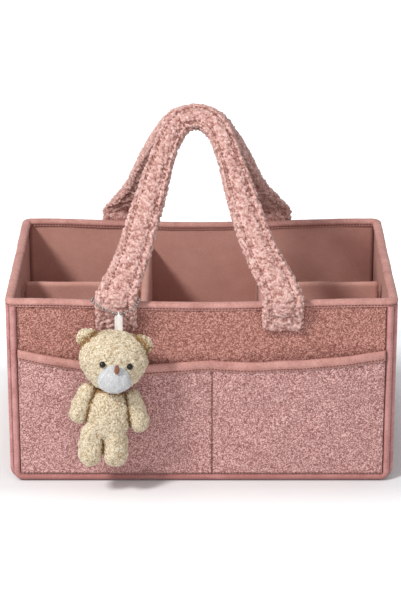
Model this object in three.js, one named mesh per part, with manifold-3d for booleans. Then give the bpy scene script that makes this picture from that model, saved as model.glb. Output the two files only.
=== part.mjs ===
import * as THREE from "three";
import { mergeVertices } from "three/addons/utils/BufferGeometryUtils.js";
import Module from "manifold-3d";

// Diaper caddy: a fleece box with a taped rim, pockets, dividers, two padded straps and a plush bear charm.
// Millimetres, +Z up. The origin is the middle of the flat underside. The front faces -Y.

// Clearances
const seatGap = 0.3;

// Body
const bodyWidth = 380;
const bodyDepth = 250;
const bodyHeight = 192;
const rimSag = 4;
const bottomCornerRadius = 12;
const rimCornerRadius = 9;

// Wall layers, from the outside in
const fleeceThickness = 2;
const boardThickness = 1.6;
const liningThickness = 1;
const baseBoardThickness = 3.4;

// Rim tape, folded over the wall
const rimTapeThickness = 1.2;
const rimTapeHeight = 7;

// Rolled tape on the edges of the front and back panels
const panelBeadWidth = 7;
const panelBeadDepth = 6.1;
const panelBeadInset = 4;
const panelBeadLift = 0.6;
const panelBeadRadius = 8.5;
const panelBeadProud = 2.4;

// Rolled tape on the edges of the gusset
const gussetBeadWidth = 4;
const gussetBeadDepth = 4.7;
const gussetBeadProud = 1.6;

// Pockets on the front and back
const pocketThickness = 1.8;
const pocketTapeThickness = 0.8;
const pocketTapeHeight = 9;
const pocketStandoff = 1.2;
const frontPocketHeight = 130.8;
const frontPocketBulge = 7;
const frontSeamPlace = 10;

// Handle straps
const footSpacing = 161;
const frontHandleShift = -2;
const backHandleShift = 5;
const frontArchLean = -3.5;
const backArchLean = 1.5;
const archLeanShare = 0.4;
const footWidth = 40;
const footDepth = 13;
const footTipDepth = 6.5;
const footDrop = 31;
const footRise = 8;
const frontHandleRise = 161.5;
const backHandleRise = 154.5;
const apexSetback = 4.4;
const strapWidth = 26;
const strapThickness = 18;
const sleeveWall = 2.4;

// Dividers
const dividerThickness = 9;
const dividerDrop = 27;
const dividerFelt = 2;
const leftDividerPlace = -57;
const rightDividerPlace = 62;
const crossThickness = 8;
const hookThickness = 1.2;
const hookWidth = 6;
const hookMargin = 12;

// Bear charm
const headWidth = 66;
const headHeight = 62;
const headDepth = 40;
const torsoWidth = 41;
const torsoHeight = 58;
const torsoDepth = 33;
const armLength = 43;
const armWidth = 21;
const legLength = 46;
const legWidth = 25;
const earWidth = 21;
const earThickness = 11;
const muzzleWidth = 32;
const muzzleHeight = 32;
const muzzleDepth = 18;
const noseWidth = 5;
const noseHeight = 9;
const eyeDiameter = 6;
const charmStandoff = 0.8;
const charmDrop = 51.4;
const charmPlace = -84.6;

// Loop and ball chain
const ribbonWidth = 7;
const ribbonGather = 1.2;
const ribbonShift = 3;
const ribbonSeat = 0.55;
const ribbonThickness = 0.8;
const ribbonDepth = 6.4;
const ribbonHeight = 28;
const ballDiameter = 2.4;
const ballPitch = 4;
const wireDiameter = 1;
const chainClearance = 2.5;
const chainDrop = 7.4;

// Smoothness
const arcSteps = 4;
const sagSteps = 8;
const pocketColumns = 11;
const strapStations = 26;

// Places that follow from the sizes above
const wallThickness = fleeceThickness + boardThickness + liningThickness + 2 * seatGap;
const frontFace = bodyDepth / 2 - panelBeadProud;
const sideFace = bodyWidth / 2 - gussetBeadProud;
const frontInner = frontFace - wallThickness;
const sideInner = sideFace - wallThickness;
const rimWidth = wallThickness + 2 * (rimTapeThickness + seatGap);
const rimHalfWidth = sideFace + seatGap + rimTapeThickness;
const rimHalfDepth = frontFace + seatGap + rimTapeThickness;
const rimInner = rimHalfWidth - rimWidth;
const wallTop = bodyHeight - rimTapeThickness - seatGap;
const rimTapeBottom = bodyHeight - rimTapeHeight;
const beadTop = rimTapeBottom - seatGap;
const panelHalfWidth = bodyWidth / 2 - panelBeadInset - panelBeadWidth - seatGap;
const panelBottom = panelBeadLift + panelBeadWidth + seatGap;
const panelCornerRadius = panelBeadRadius - panelBeadWidth - seatGap;
const gussetBeadFront = bodyDepth / 2 - panelBeadDepth - seatGap;
const gussetHalfDepth = gussetBeadFront - gussetBeadDepth - seatGap;
const baseBoardBottom = fleeceThickness + seatGap;
const baseLiningBottom = baseBoardBottom + baseBoardThickness + seatGap;
const baseLiningTop = baseLiningBottom + liningThickness;
const footTop = bodyHeight + footRise;
const footBottom = bodyHeight - footDrop;
const footBack = rimHalfDepth + seatGap;
const footFront = footBack + footDepth;
const leftFootPlace = frontHandleShift - footSpacing / 2;
const chainFront = footFront + chainClearance + ballDiameter;
const chainHeight = bodyHeight - chainDrop;
const ribbonPlace = leftFootPlace + ribbonShift;
const pocketDepth = seatGap + pocketStandoff + pocketThickness + seatGap + pocketTapeThickness;
const charmBack = frontFace + frontPocketBulge + pocketDepth + charmStandoff;

// Colours and surfaces
const material = (name, color, roughness, metalness) =>
  new THREE.MeshStandardMaterial({ name, color, roughness, metalness });
const materials = {
  fleece: material("fleece", "#be918b", 0.95, 0),
  panelFleece: material("panel_fleece", "#b88a82", 0.95, 0),
  tape: material("tape", "#bf9187", 0.7, 0),
  boucle: material("boucle", "#cba196", 0.95, 0),
  felt: material("felt", "#b98a7f", 0.9, 0),
  board: material("board", "#d8cfc6", 0.8, 0),
  foam: material("foam", "#efe6dd", 0.9, 0),
  hook: material("hook", "#c79b92", 0.8, 0),
  plush: material("plush", "#ddcfb4", 0.95, 0),
  muzzle: material("muzzle", "#dcdad4", 0.9, 0),
  thread: material("thread", "#6b4434", 0.7, 0),
  eye: material("eye", "#15110f", 0.25, 0),
  satin: material("satin", "#ece7e4", 0.4, 0),
  steel: material("steel", "#c9cbce", 0.25, 1),
};

// Geometry helpers

/** Makes an indexed geometry, turned so that its faces point outwards. */
function solidFromTriangles(points, triangles) {
  let volume = 0;
  for (const [a, b, c] of triangles) {
    volume += points[a].dot(points[b].clone().cross(points[c]));
  }
  const turned = volume < 0 ? triangles.map(([a, b, c]) => [a, c, b]) : triangles;
  const geometry = new THREE.BufferGeometry();
  const places = points.flatMap((point) => [point.x, point.y, point.z]);
  geometry.setAttribute("position", new THREE.Float32BufferAttribute(places, 3));
  geometry.setIndex(turned.flat());
  geometry.computeVertexNormals();
  return geometry;
}

/** Joins rings of equal count into one closed body. The section's flat outline closes the two ends. */
function loftRings(rings, section, closedPath) {
  const count = rings[0].length;
  const triangles = [];
  const spans = closedPath ? rings.length : rings.length - 1;
  for (let i = 0; i < spans; i += 1) {
    const here = i * count;
    const next = ((i + 1) % rings.length) * count;
    for (let j = 0; j < count; j += 1) {
      const k = (j + 1) % count;
      triangles.push([here + j, next + j, next + k]);
      triangles.push([here + j, next + k, here + k]);
    }
  }
  if (!closedPath) {
    const outline = section.map(([u, v]) => new THREE.Vector2(u, v));
    const clockwise = THREE.ShapeUtils.isClockWise(outline);
    const caps = THREE.ShapeUtils.triangulateShape(outline, []);
    const last = (rings.length - 1) * count;
    for (const [a, b, c] of caps) {
      triangles.push(clockwise ? [a, c, b] : [a, b, c]);
      triangles.push(clockwise ? [last + a, last + b, last + c] : [last + a, last + c, last + b]);
    }
  }
  return solidFromTriangles(rings.flat(), triangles);
}

/** Joins rings between two end points into one closed body. */
function loftBlob(rings, start, end) {
  const count = rings[0].length;
  const points = [...rings.flat(), start, end];
  const startIndex = points.length - 2;
  const endIndex = points.length - 1;
  const last = (rings.length - 1) * count;
  const triangles = [];
  for (let j = 0; j < count; j += 1) {
    const k = (j + 1) % count;
    for (let i = 0; i < rings.length - 1; i += 1) {
      const here = i * count;
      triangles.push([here + j, here + count + j, here + count + k]);
      triangles.push([here + j, here + count + k, here + k]);
    }
    triangles.push([startIndex, j, k]);
    triangles.push([endIndex, last + k, last + j]);
  }
  return solidFromTriangles(points, triangles);
}

/** Makes a tube wall between outer and inner rings, open at both ends. */
function tubeWall(outerRings, innerRings) {
  const count = outerRings[0].length;
  const total = outerRings.length * count;
  const last = total - count;
  const triangles = [];
  for (let j = 0; j < count; j += 1) {
    const k = (j + 1) % count;
    for (let i = 0; i < outerRings.length - 1; i += 1) {
      const here = i * count;
      const next = here + count;
      triangles.push([here + j, next + j, next + k]);
      triangles.push([here + j, next + k, here + k]);
      triangles.push([total + here + j, total + next + k, total + next + j]);
      triangles.push([total + here + j, total + here + k, total + next + k]);
    }
    triangles.push([j, k, total + k]);
    triangles.push([j, total + k, total + j]);
    triangles.push([last + j, total + last + k, last + k]);
    triangles.push([last + j, total + last + j, total + last + k]);
  }
  return solidFromTriangles([...outerRings.flat(), ...innerRings.flat()], triangles);
}

/** Reads a smooth curve through a table of [place, value] pairs. */
function smoothTable(table, place) {
  const last = table.length - 2;
  let i = table.findIndex((row, index) => index < table.length - 1 && place <= table[index + 1][0]);
  i = i < 0 ? last : i;
  const slope = (index) => {
    const before = table[Math.max(index - 1, 0)];
    const after = table[Math.min(index + 1, table.length - 1)];
    return (after[1] - before[1]) / (after[0] - before[0]);
  };
  const [x0, y0] = table[i];
  const [x1, y1] = table[i + 1];
  const span = x1 - x0;
  const t = THREE.MathUtils.clamp((place - x0) / span, 0, 1);
  const rise = t * t * (3 - 2 * t);
  const startPull = t * (1 - t) * (1 - t) * span * slope(i);
  const endPull = t * t * (t - 1) * span * slope(i + 1);
  return y0 + (y1 - y0) * rise + startPull + endPull;
}

/** Cuts solids out of a geometry. */
const wasm = await Module();
wasm.setup();
function toManifold(geometry) {
  const bare = geometry.clone();
  bare.deleteAttribute("normal");
  bare.deleteAttribute("uv");
  const merged = mergeVertices(bare);
  return new wasm.Manifold(
    new wasm.Mesh({
      numProp: 3,
      vertProperties: new Float32Array(merged.getAttribute("position").array),
      triVerts: new Uint32Array(merged.getIndex().array),
    })
  );
}
function cutAway(geometry, cutters) {
  let solid = toManifold(geometry);
  for (const cutter of cutters) {
    solid = solid.subtract(toManifold(cutter));
  }
  const mesh = solid.getMesh();
  const cut = new THREE.BufferGeometry();
  cut.setAttribute("position", new THREE.BufferAttribute(new Float32Array(mesh.vertProperties), 3));
  cut.setIndex([...mesh.triVerts]);
  cut.computeVertexNormals();
  return cut;
}

/** Names a mesh. */
function piece(name, geometry, surface) {
  const mesh = new THREE.Mesh(geometry, surface);
  mesh.name = name;
  return mesh;
}

/** Makes a box from its low and high corners. */
function boxBetween(low, high) {
  const size = high.map((value, axis) => value - low[axis]);
  const box = new THREE.BoxGeometry(...size);
  box.translate(...high.map((value, axis) => (value + low[axis]) / 2));
  return box;
}

// Body outlines

/** How far the rim dips below its corners, at a place along the front or back. */
function sagAt(x) {
  const halfSpan = rimHalfWidth - rimCornerRadius;
  const share = Math.min(Math.abs(x) / halfSpan, 1);
  return (rimSag * (1 + Math.cos(Math.PI * share))) / 2;
}

/** Points of a quarter circle, from one angle to another. */
function arcPoints(centreU, centreV, radius, fromAngle, toAngle) {
  return Array.from({ length: arcSteps + 1 }, (unused, i) => {
    const angle = THREE.MathUtils.lerp(fromAngle, toAngle, i / arcSteps);
    return [centreU + radius * Math.cos(angle), centreV + radius * Math.sin(angle)];
  });
}

/** Upright panel with rounded lower corners and a sagging top, in x and z. */
function panelShape(halfWidth, bottom, cornerRadius) {
  const low = bottom + cornerRadius;
  const side = halfWidth - cornerRadius;
  const outline = [
    ...arcPoints(-side, low, cornerRadius, Math.PI, 1.5 * Math.PI),
    ...arcPoints(side, low, cornerRadius, 1.5 * Math.PI, 2 * Math.PI),
  ];
  for (let i = 0; i <= sagSteps; i += 1) {
    const x = THREE.MathUtils.lerp(halfWidth, -halfWidth, i / sagSteps);
    outline.push([x, wallTop - sagAt(x)]);
  }
  return new THREE.Shape(outline.map(([x, z]) => new THREE.Vector2(x, z)));
}

/** Layer of the front wall: a panel shape made thick, with its outer face at a distance from the centre. */
function frontLayer(shape, outerFace, thickness) {
  const geometry = new THREE.ExtrudeGeometry(shape, { depth: thickness, bevelEnabled: false });
  geometry.rotateX(Math.PI / 2);
  geometry.translate(0, thickness - outerFace, 0);
  return geometry;
}

/** Stations down the left, round the bottom and up the right, each with its inward direction. */
function underPath(halfWidth, bottom, top, radius) {
  const stations = [{ x: -halfWidth, z: top, inX: 1, inZ: 0 }];
  for (const side of [-1, 1]) {
    const centreX = side * (halfWidth - radius);
    const from = side < 0 ? Math.PI : 1.5 * Math.PI;
    for (let i = 0; i <= arcSteps; i += 1) {
      const angle = from + (0.5 * Math.PI * i) / arcSteps;
      const x = centreX + radius * Math.cos(angle);
      const z = bottom + radius + radius * Math.sin(angle);
      stations.push({ x, z, inX: -Math.cos(angle), inZ: -Math.sin(angle) });
    }
  }
  stations.push({ x: halfWidth, z: top, inX: -1, inZ: 0 });
  return stations;
}

/** Rolled tape: a section of [inward, outward y] points taken along a path under the body. */
function edgeBead(stations, section) {
  const rings = stations.map((at) =>
    section.map(([inward, outward]) => new THREE.Vector3(at.x + inward * at.inX, -outward, at.z + inward * at.inZ))
  );
  return loftRings(rings, section, false);
}

// Walls

function buildGusset() {
  const outer = underPath(sideFace, 0, wallTop, bottomCornerRadius - gussetBeadProud);
  const section = [
    [0, -gussetHalfDepth],
    [0, gussetHalfDepth],
    [fleeceThickness, gussetHalfDepth],
    [fleeceThickness, -gussetHalfDepth],
  ];
  return piece("gusset_fleece", edgeBead(outer, section), materials.panelFleece);
}

/** Outline of the panel's rolled tape, as shares of its width and depth. */
const panelBeadShares = [
  [0, 0],
  [0, 0.72],
  [0.08, 0.9],
  [0.28, 1],
  [0.72, 1],
  [0.92, 0.9],
  [1, 0.66],
  [1, 0],
];

/** Outline of the gusset's rolled tape, as shares of its width and depth. */
const gussetBeadShares = [
  [0.12, 0.14],
  [0, 0.35],
  [0, 0.7],
  [0.12, 0.92],
  [0.4, 1],
  [1, 1],
  [1, 0],
  [0.4, 0],
];

function buildPanelBead(name) {
  const stations = underPath(bodyWidth / 2 - panelBeadInset, panelBeadLift, beadTop, panelBeadRadius);
  const back = bodyDepth / 2 - panelBeadDepth;
  const section = panelBeadShares.map(([across, out]) => [across * panelBeadWidth, back + out * panelBeadDepth]);
  return piece(name, edgeBead(stations, section), materials.tape);
}

function buildGussetBead(name) {
  const stations = underPath(bodyWidth / 2, 0, beadTop, bottomCornerRadius);
  const back = gussetBeadFront - gussetBeadDepth;
  const section = gussetBeadShares.map(([across, out]) => [across * gussetBeadWidth, back + out * gussetBeadDepth]);
  return piece(name, edgeBead(stations, section), materials.tape);
}

function buildFrontLayers(side) {
  const boardFace = frontFace - fleeceThickness - seatGap;
  const liningFace = boardFace - boardThickness - seatGap;
  const sewn = panelShape(panelHalfWidth, panelBottom, panelCornerRadius);
  const lining = panelShape(sideInner - seatGap, baseLiningBottom, liningThickness);
  return [
    piece(`${side}_fleece`, frontLayer(sewn, frontFace, fleeceThickness), materials.panelFleece),
    piece(`${side}_board`, frontLayer(sewn, boardFace, boardThickness), materials.board),
    piece(`${side}_lining`, frontLayer(lining, liningFace, liningThickness), materials.felt),
  ];
}

function buildSideLayers(side, sign) {
  const boardFace = sideFace - fleeceThickness - seatGap;
  const liningFace = boardFace - boardThickness - seatGap;
  const boardFoot = bottomCornerRadius - gussetBeadProud;
  const liningFoot = baseLiningTop + seatGap;
  const liningHalf = frontInner - seatGap;
  const upright = (outerFace, thickness, foot, half) => {
    const across = [sign * outerFace, sign * (outerFace - thickness)].sort((a, b) => a - b);
    return boxBetween([across[0], -half, foot], [across[1], half, wallTop]);
  };
  return [
    piece(`${side}_board`, upright(boardFace, boardThickness, boardFoot, gussetHalfDepth), materials.board),
    piece(`${side}_lining`, upright(liningFace, liningThickness, liningFoot, liningHalf), materials.felt),
  ];
}

function buildBase() {
  const boardHalf = sideFace - bottomCornerRadius + gussetBeadProud;
  const liningHalf = sideInner - seatGap;
  const liningDepth = frontInner - seatGap;
  const board = boxBetween(
    [-boardHalf, -gussetHalfDepth, baseBoardBottom],
    [boardHalf, gussetHalfDepth, baseBoardBottom + baseBoardThickness]
  );
  const lining = boxBetween(
    [-liningHalf, -liningDepth, baseLiningBottom],
    [liningHalf, liningDepth, baseLiningTop]
  );
  return [piece("base_board", board, materials.board), piece("base_lining", lining, materials.felt)];
}

/** Rim tape outline: how far in from the outer face, and how far down from the top, in shares. */
const rimCrownShares = [
  [0, 0.32],
  [0.1, 0.1],
  [0.36, 0],
  [0.64, 0],
  [0.9, 0.1],
  [1, 0.32],
];

function buildRimBinding() {
  const innerTop = rimTapeThickness;
  const section = [
    [0, rimTapeHeight],
    ...rimCrownShares.map(([inward, down]) => [inward * rimWidth, down * rimTapeHeight]),
    [rimWidth, rimTapeHeight],
    [rimWidth - rimTapeThickness, rimTapeHeight],
    [rimWidth - rimTapeThickness, innerTop],
    [rimTapeThickness, innerTop],
    [rimTapeThickness, rimTapeHeight],
  ];
  const sideX = rimHalfWidth - rimCornerRadius;
  const sideY = rimHalfDepth - rimCornerRadius;
  const stations = [];
  const corners = [
    [-sideX, -sideY, Math.PI],
    [sideX, -sideY, 1.5 * Math.PI],
    [sideX, sideY, 0],
    [-sideX, sideY, 0.5 * Math.PI],
  ];
  corners.forEach(([x, y, from], index) => {
    for (let i = 0; i <= arcSteps; i += 1) {
      stations.push({ x, y, angle: from + (0.5 * Math.PI * i) / arcSteps });
    }
    if (index % 2 === 0) {
      for (let i = 1; i < sagSteps; i += 1) {
        const angle = from + 0.5 * Math.PI;
        stations.push({ x: THREE.MathUtils.lerp(x, -x, i / sagSteps), y, angle });
      }
    }
  });
  const rings = stations.map(({ x, y, angle }) =>
    section.map(([inward, down]) => {
      const reach = rimCornerRadius - inward;
      const px = x + reach * Math.cos(angle);
      const py = y + reach * Math.sin(angle);
      return new THREE.Vector3(px, py, bodyHeight - down - sagAt(px));
    })
  );
  return piece("rim_binding", loftRings(rings, section, true), materials.tape);
}

// Pockets

/** Front pocket's top edge, as [share of half width, share of height]. */
const frontTopShares = [
  [-1, 1],
  [-0.83, 0.958],
  [-0.67, 0.927],
  [-0.45, 0.901],
  [-0.27, 0.898],
  [-0.03, 0.915],
  [0.05, 0.914],
  [0.11, 0.911],
  [0.29, 0.913],
  [0.43, 0.926],
  [0.71, 0.95],
  [1, 0.992],
];

/** Rows of the pocket sheet, as shares of its height. */
const pocketRowShares = [0, 0.12, 0.3, 0.5, 0.7, 0.82, 0.91, 1];

/** Describes one pocket: where its cloth lies for a place across and up. */
function pocketForm({ halfWidth, bottom, face, height, bulge, seams, topShares }) {
  const stops = [-halfWidth, ...seams, halfWidth];
  const top = (x) => bottom + height * smoothTable(topShares, x / halfWidth);
  const back = (x, z) => {
    const up = THREE.MathUtils.clamp((z - bottom) / (top(x) - bottom), 0, 1);
    const right = Math.max(stops.findIndex((stop) => x <= stop), 1);
    const across = THREE.MathUtils.clamp((x - stops[right - 1]) / (stops[right] - stops[right - 1]), 0, 1);
    const belly = Math.pow(Math.sin(Math.PI * across), 0.7) * Math.pow(up, 0.75);
    const lift = THREE.MathUtils.smoothstep(up, 0.55, 0.88);
    return face + seatGap + bulge * belly + pocketStandoff * lift;
  };
  const places = [-halfWidth];
  for (let stop = 1; stop < stops.length; stop += 1) {
    for (let i = 1; i <= pocketColumns; i += 1) {
      places.push(THREE.MathUtils.lerp(stops[stop - 1], stops[stop], i / pocketColumns));
    }
  }
  return { top, back, bottom, places };
}

/** Pocket cloth: two close surfaces joined round their edge. */
function pocketSheet(form) {
  const rings = form.places.map((x) => {
    const heights = pocketRowShares.map((share) => THREE.MathUtils.lerp(form.bottom, form.top(x), share));
    const inside = heights.map((z) => new THREE.Vector3(x, -form.back(x, z), z));
    const outside = heights.map((z) => new THREE.Vector3(x, -form.back(x, z) - pocketThickness, z));
    return [...inside, ...outside.reverse()];
  });
  const section = rings[0].map((point) => [point.z, -point.y]);
  return loftRings(rings, section, false);
}

/** Tape folded over the pocket's top edge, following the cloth. */
function pocketTape(form) {
  const rings = form.places.map((x) => {
    const top = form.top(x);
    const mid = top - pocketTapeHeight / 2;
    const low = top - pocketTapeHeight;
    const crown = top + seatGap;
    const inner = (z) => form.back(x, z) - seatGap;
    const outer = (z) => form.back(x, z) + pocketThickness + seatGap;
    const tape = pocketTapeThickness;
    const points = [
      [outer(low) + tape, low],
      [outer(mid) + tape, mid],
      [outer(top) + tape, top],
      [(outer(top) + inner(top)) / 2, crown + tape],
      [inner(top) - tape, top],
      [inner(mid) - tape, mid],
      [inner(low) - tape, low],
      [inner(low), low],
      [inner(mid), mid],
      [inner(top), crown],
      [outer(top), crown],
      [outer(mid), mid],
      [outer(low), low],
    ];
    return points.map(([out, z]) => new THREE.Vector3(x, -out, z));
  });
  const section = rings[0].map((point) => [-point.y, point.z]);
  return loftRings(rings, section, false);
}

function buildPocket(side, options) {
  const form = pocketForm(options);
  return [
    piece(`${side}_pocket`, pocketSheet(form), materials.fleece),
    piece(`${side}_pocket_binding`, pocketTape(form), materials.tape),
  ];
}

function frontPocketOptions() {
  return {
    halfWidth: panelHalfWidth,
    bottom: panelBottom + panelCornerRadius,
    face: frontFace,
    height: frontPocketHeight,
    bulge: frontPocketBulge,
    seams: [frontSeamPlace],
    topShares: frontTopShares,
  };
}

// Handle straps

/** Half outline of the strap's section: edge, stitched groove and padded middle, in shares. */
const strapEdgeShares = [
  [1, 0],
  [0.93, 0.55],
  [0.78, 0.84],
  [0.56, 0.74],
  [0.28, 1],
];

/** Whole section of the strap, in shares of its half width and half thickness. */
function strapSectionShares() {
  const mirrored = [...strapEdgeShares].reverse().map(([u, v]) => [-u, v]);
  const upper = [...strapEdgeShares, ...mirrored];
  const lower = upper.slice(1, -1).reverse().map(([u, v]) => [u, -v]);
  return [...upper, ...lower];
}

/** Centre line of half the front handle: [share of half spacing, share of length up the strap]. */
const frontArchShares = [
  [1, 0],
  [0.93, 0.06],
  [0.77, 0.207],
  [0.6, 0.434],
  [0.53, 0.538],
  [0.416, 0.7],
  [0.366, 0.765],
  [0.318, 0.815],
  [0.262, 0.864],
  [0.178, 0.905],
  [0.095, 0.923],
];

/** Centre line of half the back handle, which sags a little more. */
const backArchShares = [
  [1, 0],
  [0.9, 0.06],
  [0.735, 0.207],
  [0.585, 0.434],
  [0.52, 0.538],
  [0.412, 0.7],
  [0.36, 0.765],
  [0.312, 0.815],
  [0.255, 0.864],
  [0.172, 0.905],
  [0.09, 0.923],
];

/** How each handle stands: its shift and its lean sideways, its rise and its route. */
const handleForms = {
  front: {
    shift: frontHandleShift,
    lean: frontArchLean,
    rise: frontHandleRise,
    routeShares: frontArchShares,
  },
  back: {
    shift: backHandleShift,
    lean: backArchLean,
    rise: backHandleRise,
    routeShares: backArchShares,
  },
};

/** How far the strap keeps its foot's width over its length, as shares; below zero it is drawn in. */
const strapFlareShares = [
  [0, 1],
  [0.06, 0.8],
  [0.12, 0.6],
  [0.3, 0.46],
  [0.5, 0.3],
  [0.62, 0.1],
  [0.75, -0.12],
  [0.9, -0.05],
  [1, 0],
];

/** How far the strap keeps its foot's thickness over its length, as shares. */
const strapThinShares = [
  [0, 1],
  [0.08, 0.7],
  [0.25, 0.15],
  [0.5, 0],
  [1, 0],
];

/** Stations along one handle from the left foot, over the top, to the right foot. */
function handleStations(form) {
  const rise = bodyHeight + form.rise - footTop - seatGap;
  const run = (footBack + footFront) / 2 - apexSetback;
  const length = Math.hypot(rise, run);
  const lean = Math.atan2(run, rise);
  const apex = [0, (length - strapWidth / 2) / length];
  const left = form.routeShares.map(([spread, up]) => [-spread, up]);
  const right = [...form.routeShares].reverse();
  const flat = [...left, apex, ...right].map(
    ([spread, up]) => new THREE.Vector3((spread * footSpacing) / 2, up * length, 0)
  );
  const curve = new THREE.CatmullRomCurve3(flat, false, "centripetal");
  const up = new THREE.Vector3(0, Math.sin(lean), Math.cos(lean));
  const out = new THREE.Vector3(0, -Math.cos(lean), Math.sin(lean));
  return Array.from({ length: strapStations + 1 }, (unused, i) => {
    const share = i / strapStations;
    const place = curve.getPointAt(share);
    const tangent = curve.getTangentAt(share);
    const along = Math.min(share, 1 - share) * 2;
    const settle = THREE.MathUtils.smoothstep(along, 0, 0.12);
    const across = new THREE.Vector3(tangent.y, 0, 0).addScaledVector(up, -tangent.x);
    across.lerp(new THREE.Vector3(Math.sign(tangent.y), 0, 0), 1 - settle).normalize();
    const outward = new THREE.Vector3(0, -1, 0).lerp(out, settle).normalize();
    const sideways = form.shift + form.lean * THREE.MathUtils.smoothstep(place.y / length, 0, archLeanShare);
    const centre = new THREE.Vector3(place.x + sideways, -(footBack + footFront) / 2, footTop + seatGap);
    centre.addScaledVector(up, place.y);
    return {
      centre,
      across,
      outward,
      halfWidth: (strapWidth + (footWidth - strapWidth) * smoothTable(strapFlareShares, along)) / 2,
      halfThickness: (strapThickness + (footDepth - strapThickness) * smoothTable(strapThinShares, along)) / 2,
    };
  });
}

/** Rings of the strap's section at each station, drawn in by a margin. */
function strapRings(stations, shares, margin) {
  return stations.map((at) =>
    shares.map(([u, v]) =>
      at.centre
        .clone()
        .addScaledVector(at.across, u * (at.halfWidth - margin))
        .addScaledVector(at.outward, v * (at.halfThickness - margin))
    )
  );
}

/** Eight-sided section of the strap's filling. */
const coreShares = [
  [1, 0.35],
  [0.55, 0.72],
  [-0.55, 0.72],
  [-1, 0.35],
  [-1, -0.35],
  [-0.55, -0.72],
  [0.55, -0.72],
  [1, -0.35],
].map(([u, v]) => [u * 0.93, v]);

function buildHandle(side) {
  const stations = handleStations(handleForms[side]);
  const shares = strapSectionShares();
  const sleeve = tubeWall(strapRings(stations, shares, 0), strapRings(stations, shares, sleeveWall));
  const core = loftRings(strapRings(stations, coreShares, sleeveWall + seatGap), coreShares, false);
  return [
    piece(`${side}_handle_sleeve`, sleeve, materials.boucle),
    piece(`${side}_handle_core`, core, materials.foam),
  ];
}

/** Foot of a strap: [share of height, share of width, share of depth], from the tip up. */
const footShares = [
  [0, 0.8, 0.75],
  [0.07, 0.98, 1],
  [0.3, 1.02, 1.35],
];

function buildFoot(name, place) {
  const shares = strapSectionShares();
  const height = footTop - footBottom;
  const low = frontFace + seatGap;
  const stations = footShares.map(([up, wide, deep]) => ({
    z: footBottom + up * height,
    back: low,
    front: low + deep * footTipDepth,
    width: wide * footWidth,
  }));
  const knee = rimTapeBottom - rimSag - seatGap;
  stations.push({ z: knee - footTipDepth / 3, back: low, front: footFront - footTipDepth / 3, width: footWidth });
  stations.push({ z: knee, back: footBack, front: footFront - footTipDepth / 6, width: footWidth });
  stations.push({ z: footTop, back: footBack, front: footFront, width: footWidth });
  const rings = stations.map(({ z, back, front, width }) =>
    shares.map(([u, v]) => {
      const y = (back + front) / 2 + (v * (front - back)) / 2;
      return new THREE.Vector3(place + (u * width) / 2, -y, z);
    })
  );
  return piece(name, loftRings(rings, shares, false), materials.boucle);
}

// Dividers

/** Felt folded over a board: an arch outline in x and z, drawn out from front to back. */
function buildLongDivider(side, place) {
  const bottom = baseLiningTop + seatGap;
  const top = bodyHeight - dividerDrop;
  const half = dividerThickness / 2;
  const inner = half - dividerFelt;
  const shoulder = top - half;
  const crown = arcPoints(place, shoulder, half, 0, 0.5 * Math.PI);
  const crownEnd = arcPoints(place, shoulder, half, 0.5 * Math.PI, Math.PI).slice(1);
  const outline = [
    [place + half, bottom],
    ...crown,
    ...crownEnd,
    [place - half, bottom],
    [place - inner, bottom],
    [place - inner, shoulder],
    [place + inner, shoulder],
    [place + inner, bottom],
  ];
  const reach = frontInner - seatGap;
  const shape = new THREE.Shape(outline.map(([x, z]) => new THREE.Vector2(x, z)));
  const cover = new THREE.ExtrudeGeometry(shape, { depth: 2 * reach, bevelEnabled: false });
  cover.rotateX(Math.PI / 2);
  cover.translate(0, reach, 0);
  const slack = inner - seatGap;
  const board = boxBetween([place - slack, -reach, bottom], [place + slack, reach, shoulder - seatGap]);
  return [
    piece(`${side}_divider_cover`, cover, materials.felt),
    piece(`${side}_divider_board`, board, materials.board),
  ];
}

/** Short divider between a side wall and a long divider, with a strip of hook tape on each end. */
function buildCrossDivider(side, fromX, toX) {
  const bottom = baseLiningTop + seatGap;
  const top = bodyHeight - dividerDrop;
  const half = crossThickness / 2;
  const left = fromX + seatGap + hookThickness + seatGap;
  const right = toX - seatGap - hookThickness - seatGap;
  const shoulder = top - half;
  const outline = [
    [-half, bottom],
    [half, bottom],
    ...arcPoints(0, shoulder, half, 0, 0.5 * Math.PI),
    ...arcPoints(0, shoulder, half, 0.5 * Math.PI, Math.PI).slice(1),
  ];
  const shape = new THREE.Shape(outline.map(([y, z]) => new THREE.Vector2(y, z)));
  const slab = new THREE.ExtrudeGeometry(shape, { depth: right - left, bevelEnabled: false });
  slab.rotateX(Math.PI / 2);
  slab.rotateZ(Math.PI / 2);
  slab.translate(left, 0, 0);
  const tape = (x) =>
    boxBetween([x, -hookWidth / 2, bottom + hookMargin], [x + hookThickness, hookWidth / 2, top - hookMargin]);
  return [
    piece(`${side}_cross_divider`, slab, materials.felt),
    piece(`${side}_cross_left_hook_tape`, tape(left - seatGap - hookThickness), materials.hook),
    piece(`${side}_cross_right_hook_tape`, tape(right + seatGap), materials.hook),
  ];
}

// Bear charm

/** Stations of a stuffed form along its length, from -1 to 1. */
const blobStationShares = [-0.96, -0.82, -0.6, -0.33, 0, 0.33, 0.6, 0.82, 0.96];

/** Roundness of the stuffed forms: 2 gives an ellipsoid, more gives a fuller form. */
const plumpness = 2.3;

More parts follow.
